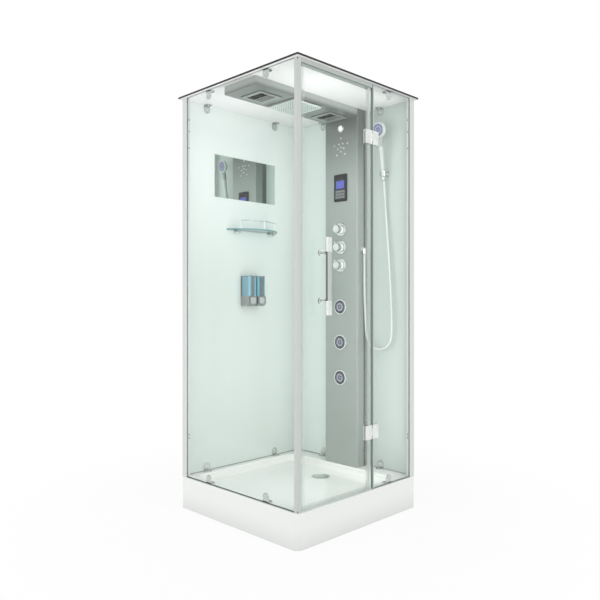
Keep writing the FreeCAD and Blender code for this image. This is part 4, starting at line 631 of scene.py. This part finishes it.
def turned(mesh, profile, at, facing, steps=24):
    """Adds a solid of revolution: (radius, height) pairs about an axis that starts at a point."""
    turn = Vector((0, 0, 1)).rotation_difference(Vector(facing))
    rings = []
    for radius, height in profile:
        if radius < 1e-6:
            rings.append([mesh.verts.new(Vector(at) + turn @ Vector((0, 0, height)))])
            continue
        ring = []
        for index in range(steps):
            angle = 2 * math.pi * index / steps
            point = Vector((radius * math.cos(angle), radius * math.sin(angle), height))
            ring.append(mesh.verts.new(Vector(at) + turn @ point))
        rings.append(ring)
    for lower, upper in zip(rings, rings[1:]):
        for index in range(steps):
            after = (index + 1) % steps
            corners = [lower[index % len(lower)], lower[after % len(lower)], upper[after % len(upper)],
                       upper[index % len(upper)]]
            corners = list(dict.fromkeys(corners))
            if len(corners) > 2:
                mesh.faces.new(corners)
    return mesh


def slab(mesh, low, high, bevel):
    """Adds a box between two corners, with softened edges."""
    low, high = Vector(low), Vector(high)
    size, middle = high - low, (high + low) / 2
    fitted = Matrix.Translation(middle) @ Matrix.Diagonal((*size, 1))
    made = bmesh.ops.create_cube(mesh, size=1, matrix=fitted)
    edges = list({edge for vert in made["verts"] for edge in vert.link_edges})
    bmesh.ops.bevel(mesh, geom=edges, offset=bevel, segments=2, affect="EDGES", profile=0.6)


def tube(mesh, line, radius, steps=16):
    """Adds a round tube along a line of points."""
    way = (line[1] - line[0]).normalized()
    side = way.orthogonal().normalized()
    rings = []
    for index, point in enumerate(line):
        after = line[min(index + 1, len(line) - 1)]
        before = line[max(index - 1, 0)]
        new_way = (after - before).normalized()
        side = (way.rotation_difference(new_way) @ side).normalized()
        way = new_way
        other = way.cross(side)
        ring = []
        for step in range(steps):
            angle = 2 * math.pi * step / steps
            ring.append(mesh.verts.new(point + radius * (math.cos(angle) * side + math.sin(angle) * other)))
        rings.append(ring)
    for lower, upper in zip(rings, rings[1:]):
        for step in range(steps):
            after = (step + 1) % steps
            mesh.faces.new((lower[step], lower[after], upper[after], upper[step]))
    mesh.faces.new(list(reversed(rings[0])))
    mesh.faces.new(rings[-1])
    return mesh


# ---------------------------------------------------------------- hose

# The route's points in millimetres, from the elbow on the column to the hand shower's foot.
HOSE_ROUTE = [(386, -141, 1372), (387, -141, 1292), (391, -137, 1160), (395, -141, 1015), (397, -147, 886),
              (400, -197, 838), (403, -264, 835), (405, -314, 882), (406, -318, 957), (407, -313, 1100),
              (408, -303, 1250), (410, -290, 1400), (414, -274, 1550), (418.5, -262, 1687.35),
              (406, -262, 1776)]


def hose_line():
    """The hose's middle line: a smooth spline with the route's points as its control points."""
    data = bpy.data.curves.new("hose_line", "CURVE")
    data.dimensions = "3D"
    data.resolution_u = 16
    spline = data.splines.new("NURBS")
    spline.points.add(len(HOSE_ROUTE) - 1)
    for point, place in zip(spline.points, HOSE_ROUTE):
        point.co = (*(number / 1000 for number in place), 1)
    spline.order_u = 3
    spline.use_endpoint_u = True
    guide = bpy.data.objects.new("hose_line", data)
    mesh = bpy.data.meshes.new_from_object(guide)
    line = [vertex.co.copy() for vertex in mesh.vertices]
    bpy.data.objects.remove(guide)
    return line


def hose():
    """Smooth white hose between its outlet and the hand shower."""
    line = hose_line()
    data = bpy.data.meshes.new("hose")
    mesh = tube(bmesh.new(), line, HOSE_RADIUS)
    mesh.to_mesh(data)
    mesh.free()
    data.materials.append(lacquer("hose_skin", tone(194, 201, 198), tone(184, 191, 188), 0.16, 0.4))
    for face in data.polygons:
        face.use_smooth = True
    item = bpy.data.objects.new("hose", data)
    bpy.context.scene.collection.objects.link(item)
    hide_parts("shower_hose")
    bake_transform(item)


hose()


# ---------------------------------------------------------------- small details

def screw_dots():
    """Plugs at the ends of the corner post and screws in the channels of the wall profiles."""
    mesh = bmesh.new()
    dot = [(0.0, 0.0012), (0.0022, 0.0012), (0.0034, 0.0004), (0.0036, 0.0)]
    plug = [(0.0, 0.0009), (0.0018, 0.0009), (0.0026, 0.0004), (0.0026, -0.002), (0.0, -0.002)]
    bevel_face = CORNER - 0.0012
    plug_heights = (2.182, RIM + 0.008)
    for z in plug_heights:
        turned(mesh, plug, (-bevel_face, -bevel_face, z), (-1, -1, 0), 16)
    channel_wall, channel_middle = 0.4, 0.427
    screw_heights = (2.075, 2.012, 1.924, 0.39, 0.372)
    for z in screw_heights:
        turned(mesh, dot, (-channel_middle, channel_wall, z), (0, -1, 0), 16)
        turned(mesh, dot, (channel_wall, -channel_middle, z), (-1, 0, 0), 16)
    piece("profile_screws", mesh, TRIM)


def clamp_screws():
    """Socket screws in the hinge plates, two in each leaf."""
    cap = [(0.0, -0.0006), (0.0022, -0.0006), (0.0026, 0.0008), (0.0048, 0.0008), (0.0055, 0.0)]
    plate_face = FRONT_FACE - 0.005
    half_spacing = 0.02
    for label, body, x in (("door_clamp_screws", "door", 0.047), ("fixed_clamp_screws", "cabin", 0.106)):
        mesh = bmesh.new()
        for hinge in (LOWER_HINGE, UPPER_HINGE):
            for z in (hinge - half_spacing, hinge + half_spacing):
                turned(mesh, cap, (x, plate_face, z), (0, -1, 0), 20)
        piece(label, mesh, CHROME_SOFT, body)


def ring_of_nubs(mesh, centre, facing, rings, radius, painted_light_and_shade_rise):
    """Adds rings of small rubber nubs on a round face."""
    turn = Vector((0, 0, 1)).rotation_difference(Vector(facing))
    nub = [(radius, 0.0), (radius * 0.8, painted_light_and_shade_rise * 0.8), (radius * 0.4, painted_light_and_shade_rise), (0.0, painted_light_and_shade_rise * 0.9)]
    for distance, count in rings:
        for index in range(count):
            angle = 2 * math.pi * (index + 0.5 * (count % 2)) / count
            offset = Vector((distance * math.cos(angle), distance * math.sin(angle), 0))
            turned(mesh, nub, Vector(centre) + turn @ offset, facing, 10)


def hand_spray():
    """Rings of nubs on the hand shower's plate, and the chrome collar at its foot."""
    forward = Vector((-math.cos(HANDSET_TILT), 0, -math.sin(HANDSET_TILT)))
    along = Vector((-math.sin(HANDSET_TILT), 0, math.cos(HANDSET_TILT)))
    centre = HANDSET_FOOT + along * 0.273 + forward * 0.013
    mesh = bmesh.new()
    ring_of_nubs(mesh, centre, forward, [(0.0, 1), (0.009, 6), (0.018, 12), (0.027, 18)], 0.0016, 0.0014)
    piece("hand_spray_nubs", mesh, SPRAY, "handset")
    collar = [(0.0096, 0.001), (0.0104, 0.002), (0.0106, 0.012), (0.0104, 0.013), (0.0098, 0.014)]
    mesh = turned(bmesh.new(), collar, HANDSET_FOOT, along, 32)
    piece("hand_collar", mesh, CHROME, "handset")


def rain_nubs():
    """Grid of nubs under the rain head."""
    low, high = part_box("rain_head")
    count, margin = 13, 0.0195
    pitch_x = (high.x - low.x - 2 * margin) / (count - 1)
    pitch_y = (high.y - low.y - 2 * margin) / (count - 1)
    nub = [(0.0022, 0.0), (0.0018, 0.0012), (0.0008, 0.0016), (0.0, 0.0014)]
    mesh = bmesh.new()
    for column in range(count):
        for row in range(count):
            x = low.x + margin + column * pitch_x
            y = low.y + margin + row * pitch_y
            turned(mesh, nub, (x, y, low.z), (0, 0, -1), 8)
    piece("rain_nubs", mesh, GREY)


def jet_faces():
    """Nozzle pins round the middle of each body jet."""
    for label in JET_NAMES:
        middle = middle_of(label)
        face = (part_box(label)[0].x, middle.y, middle.z)
        mesh = bmesh.new()
        ring_of_nubs(mesh, face, (-1, 0, 0), [(0.0, 1), (0.0095, 6), (0.0175, 12)], 0.002, 0.0016)
        piece(f"{label}_pins", mesh, SPRAY, label)


def lamp_lens():
    """Frosted lens in the lamp's ring."""
    finish = Finish("lamp_lens")
    frost = finish.cloud(500, 2)
    lens = finish.done(finish.shader(
        Base_Color=finish.mix(frost, tone(240, 244, 246), tone(222, 228, 232)), Roughness=0.3 + frost * 0.1,
        Emission_Color=tone(235, 242, 250), Emission_Strength=0.4))
    middle = middle_of("column_lamp")
    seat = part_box("column_lamp")[0].x + 0.0019
    dome = [(0.0148, 0.0), (0.0125, 0.0009), (0.008, 0.0015), (0.0, 0.0018)]
    mesh = turned(bmesh.new(), dome, (seat, middle.y, middle.z), (-1, 0, 0), 32)
    piece("lamp_lens", mesh, lens)


def keys():
    """Flat pressed fields of the keypad, four to a row."""
    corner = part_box("panel_keypad")[0]
    columns, rows = 4, 3
    first = Vector((0, 0.0105, 0.0095))
    pitch_y, pitch_z = 0.0175, 0.0165
    half = Vector((0, 0.0062, 0.0048))
    proud, sunk = Vector((-0.00025, 0, 0)), Vector((0.0001, 0, 0))
    mesh = bmesh.new()
    for row in range(rows):
        for column in range(columns):
            middle = corner + first + Vector((0, column * pitch_y, row * pitch_z))
            slab(mesh, middle - half + proud, middle + half + sunk, 0.0001)
    print_grey = lacquer("key_print", tone(132, 136, 139), tone(120, 124, 127), 0.5)
    piece("key_fields", mesh, print_grey, smooth=False)


def drain_slots():
    """Flat black quads round the drain cover's dome: painted shade where its slots open into the drain."""
    middle = middle_of("drain_cover")
    count, half_width = 16, 0.0018
    inner_radius, inner_height = 0.03, 0.1296
    outer_radius, outer_height = 0.045, 0.1284
    mesh = bmesh.new()
    for index in range(count):
        angle = math.tau * index / count
        way = Vector((math.cos(angle), math.sin(angle), 0))
        side = Vector((-way.y, way.x, 0)) * half_width
        inner = Vector((middle.x, middle.y, inner_height)) + way * inner_radius
        outer = Vector((middle.x, middle.y, outer_height)) + way * outer_radius
        ring = [inner - side, inner + side, outer + side, outer - side]
        mesh.faces.new([mesh.verts.new(point) for point in ring])
    # Painted shade: the quads are black.
    piece("drain_slots", mesh, BLACK, "drain_cover", smooth=False)


def rim_beads():
    """Thin sealant beads along both faces of the fixed panes, where they meet the rim."""
    finish = Finish("sealant")
    soil = finish.cloud(60, 4)
    grey = finish.done(finish.shader(
        Base_Color=finish.mix(soil, tone(188, 196, 192), tone(160, 170, 165)), Roughness=0.35 + soil * 0.2))
    radius = 0.0018
    height = RIM + 0.0005
    post_side, door_side, profile_side = -0.42, 0.088, 0.398
    mesh = bmesh.new()
    for face in (FRONT_FACE - 0.0015, FRONT_FACE + 0.0075):
        side_bead = [Vector((face, profile_side, height)), Vector((face, post_side, height))]
        front_bead = [Vector((door_side, face, height)), Vector((profile_side, face, height))]
        tube(mesh, side_bead, radius, 8)
        tube(mesh, front_bead, radius, 8)
    piece("rim_beads", mesh, grey)


SPRAY = lacquer("spray_nubs", tone(96, 98, 126), tone(78, 80, 106), 0.4)
screw_dots()
clamp_screws()
hand_spray()
rain_nubs()
jet_faces()
lamp_lens()
keys()
drain_slots()
rim_beads()


# ---------------------------------------------------------------- floor, light and background

def floor():
    """Pale floor that stays white round the cabin and keeps its soft shadow."""
    finish = Finish("studio_floor")
    path = "ShaderNodeLightPath"
    seen = finish.node(path, out="Is Camera Ray") + finish.node(path, out="Is Glossy Ray")
    seen = seen + finish.node(path, out="Is Transmission Ray")
    shadow_edge, white_edge = 0.6, 2.0
    lit = finish.shader(Base_Color=(0.9, 0.9, 0.9, 1), Roughness=0.7)
    white = finish.node("ShaderNodeEmission", None, {"Color": (1, 1, 1, 1), "Strength": 1.0})
    share = seen * finish.smooth(finish.distance((0, 0, 0)), shadow_edge, white_edge, 0.9, 1.0)
    ground = finish.done(finish.layered(share, lit, white))
    data = bpy.data.meshes.new("floor")
    mesh = bmesh.new()
    bmesh.ops.create_circle(mesh, cap_ends=True, segments=64, radius=30)
    mesh.to_mesh(data)
    mesh.free()
    data.materials.append(ground)
    item = bpy.data.objects.new("floor", data)
    item.location.z = -0.0005
    bpy.context.scene.collection.objects.link(item)


def daylight():
    """Even white surroundings; what the camera and reflections see is plain white."""
    world = bpy.data.worlds.new("surroundings")
    bpy.context.scene.world = world
    world.use_nodes = True
    tree = world.node_tree
    tree.nodes.clear()
    path = tree.nodes.new("ShaderNodeLightPath")
    total = tree.nodes.new("ShaderNodeMath")
    total.operation = "ADD"
    tree.links.new(path.outputs["Is Camera Ray"], total.inputs[0])
    tree.links.new(path.outputs["Is Transmission Ray"], total.inputs[1])
    seen = tree.nodes.new("ShaderNodeMath")
    seen.operation = "ADD"
    seen.use_clamp = True
    tree.links.new(total.outputs[0], seen.inputs[0])
    tree.links.new(path.outputs["Is Glossy Ray"], seen.inputs[1])
    strength = tree.nodes.new("ShaderNodeMapRange")
    strength.inputs["To Min"].default_value = 0.75
    strength.inputs["To Max"].default_value = 1.0
    tree.links.new(seen.outputs[0], strength.inputs["Value"])
    sky = tree.nodes.new("ShaderNodeBackground")
    sky.inputs["Color"].default_value = (1, 1, 1, 1)
    tree.links.new(strength.outputs[0], sky.inputs["Strength"])
    out = tree.nodes.new("ShaderNodeOutputWorld")
    tree.links.new(sky.outputs[0], out.inputs["Surface"])


def lamp(name, at, target, size, power, inside=False):
    """Soft panel light; one that stands inside the cabin isn't shown by metal or glass."""
    data = bpy.data.lights.new(name, "AREA")
    data.shape = "RECTANGLE"
    data.size, data.size_y = size
    data.energy = power
    item = bpy.data.objects.new(name, data)
    item.location = at
    item.rotation_euler = (Vector(target) - Vector(at)).to_track_quat("-Z", "Y").to_euler()
    item.visible_camera = False
    item.visible_glossy = item.visible_transmission = not inside
    bpy.context.scene.collection.objects.link(item)


def inner_glow(name, at, radius, power):
    """Soft round light that fills the cabin; neither the camera nor the metal shows it."""
    data = bpy.data.lights.new(name, "POINT")
    data.shadow_soft_size = radius
    data.energy = power
    item = bpy.data.objects.new(name, data)
    item.location = at
    item.visible_camera = item.visible_glossy = item.visible_transmission = False
    bpy.context.scene.collection.objects.link(item)


CABIN_MIDDLE = (0, 0, 1.1)
PANEL_SIZE = (2.2, 2.6)

floor()
daylight()
lamp("left_panel", (-3.2, 0.6, 1.5), CABIN_MIDDLE, PANEL_SIZE, power=23)
lamp("front_panel", (0.2, -3.4, 1.5), CABIN_MIDDLE, PANEL_SIZE, power=22)
inner_glow("upper_glow", (-0.14, -0.12, 1.75), radius=0.3, power=2.6)
inner_glow("lower_glow", (-0.12, -0.14, 0.75), radius=0.3, power=1.2)
lamp("inner_front", (0.1, -0.4, 1.2), (0.1, 0.4, 1.2), (0.6, 1.9), power=4.2, inside=True)
bpy.context.scene.view_settings.view_transform = "Standard"
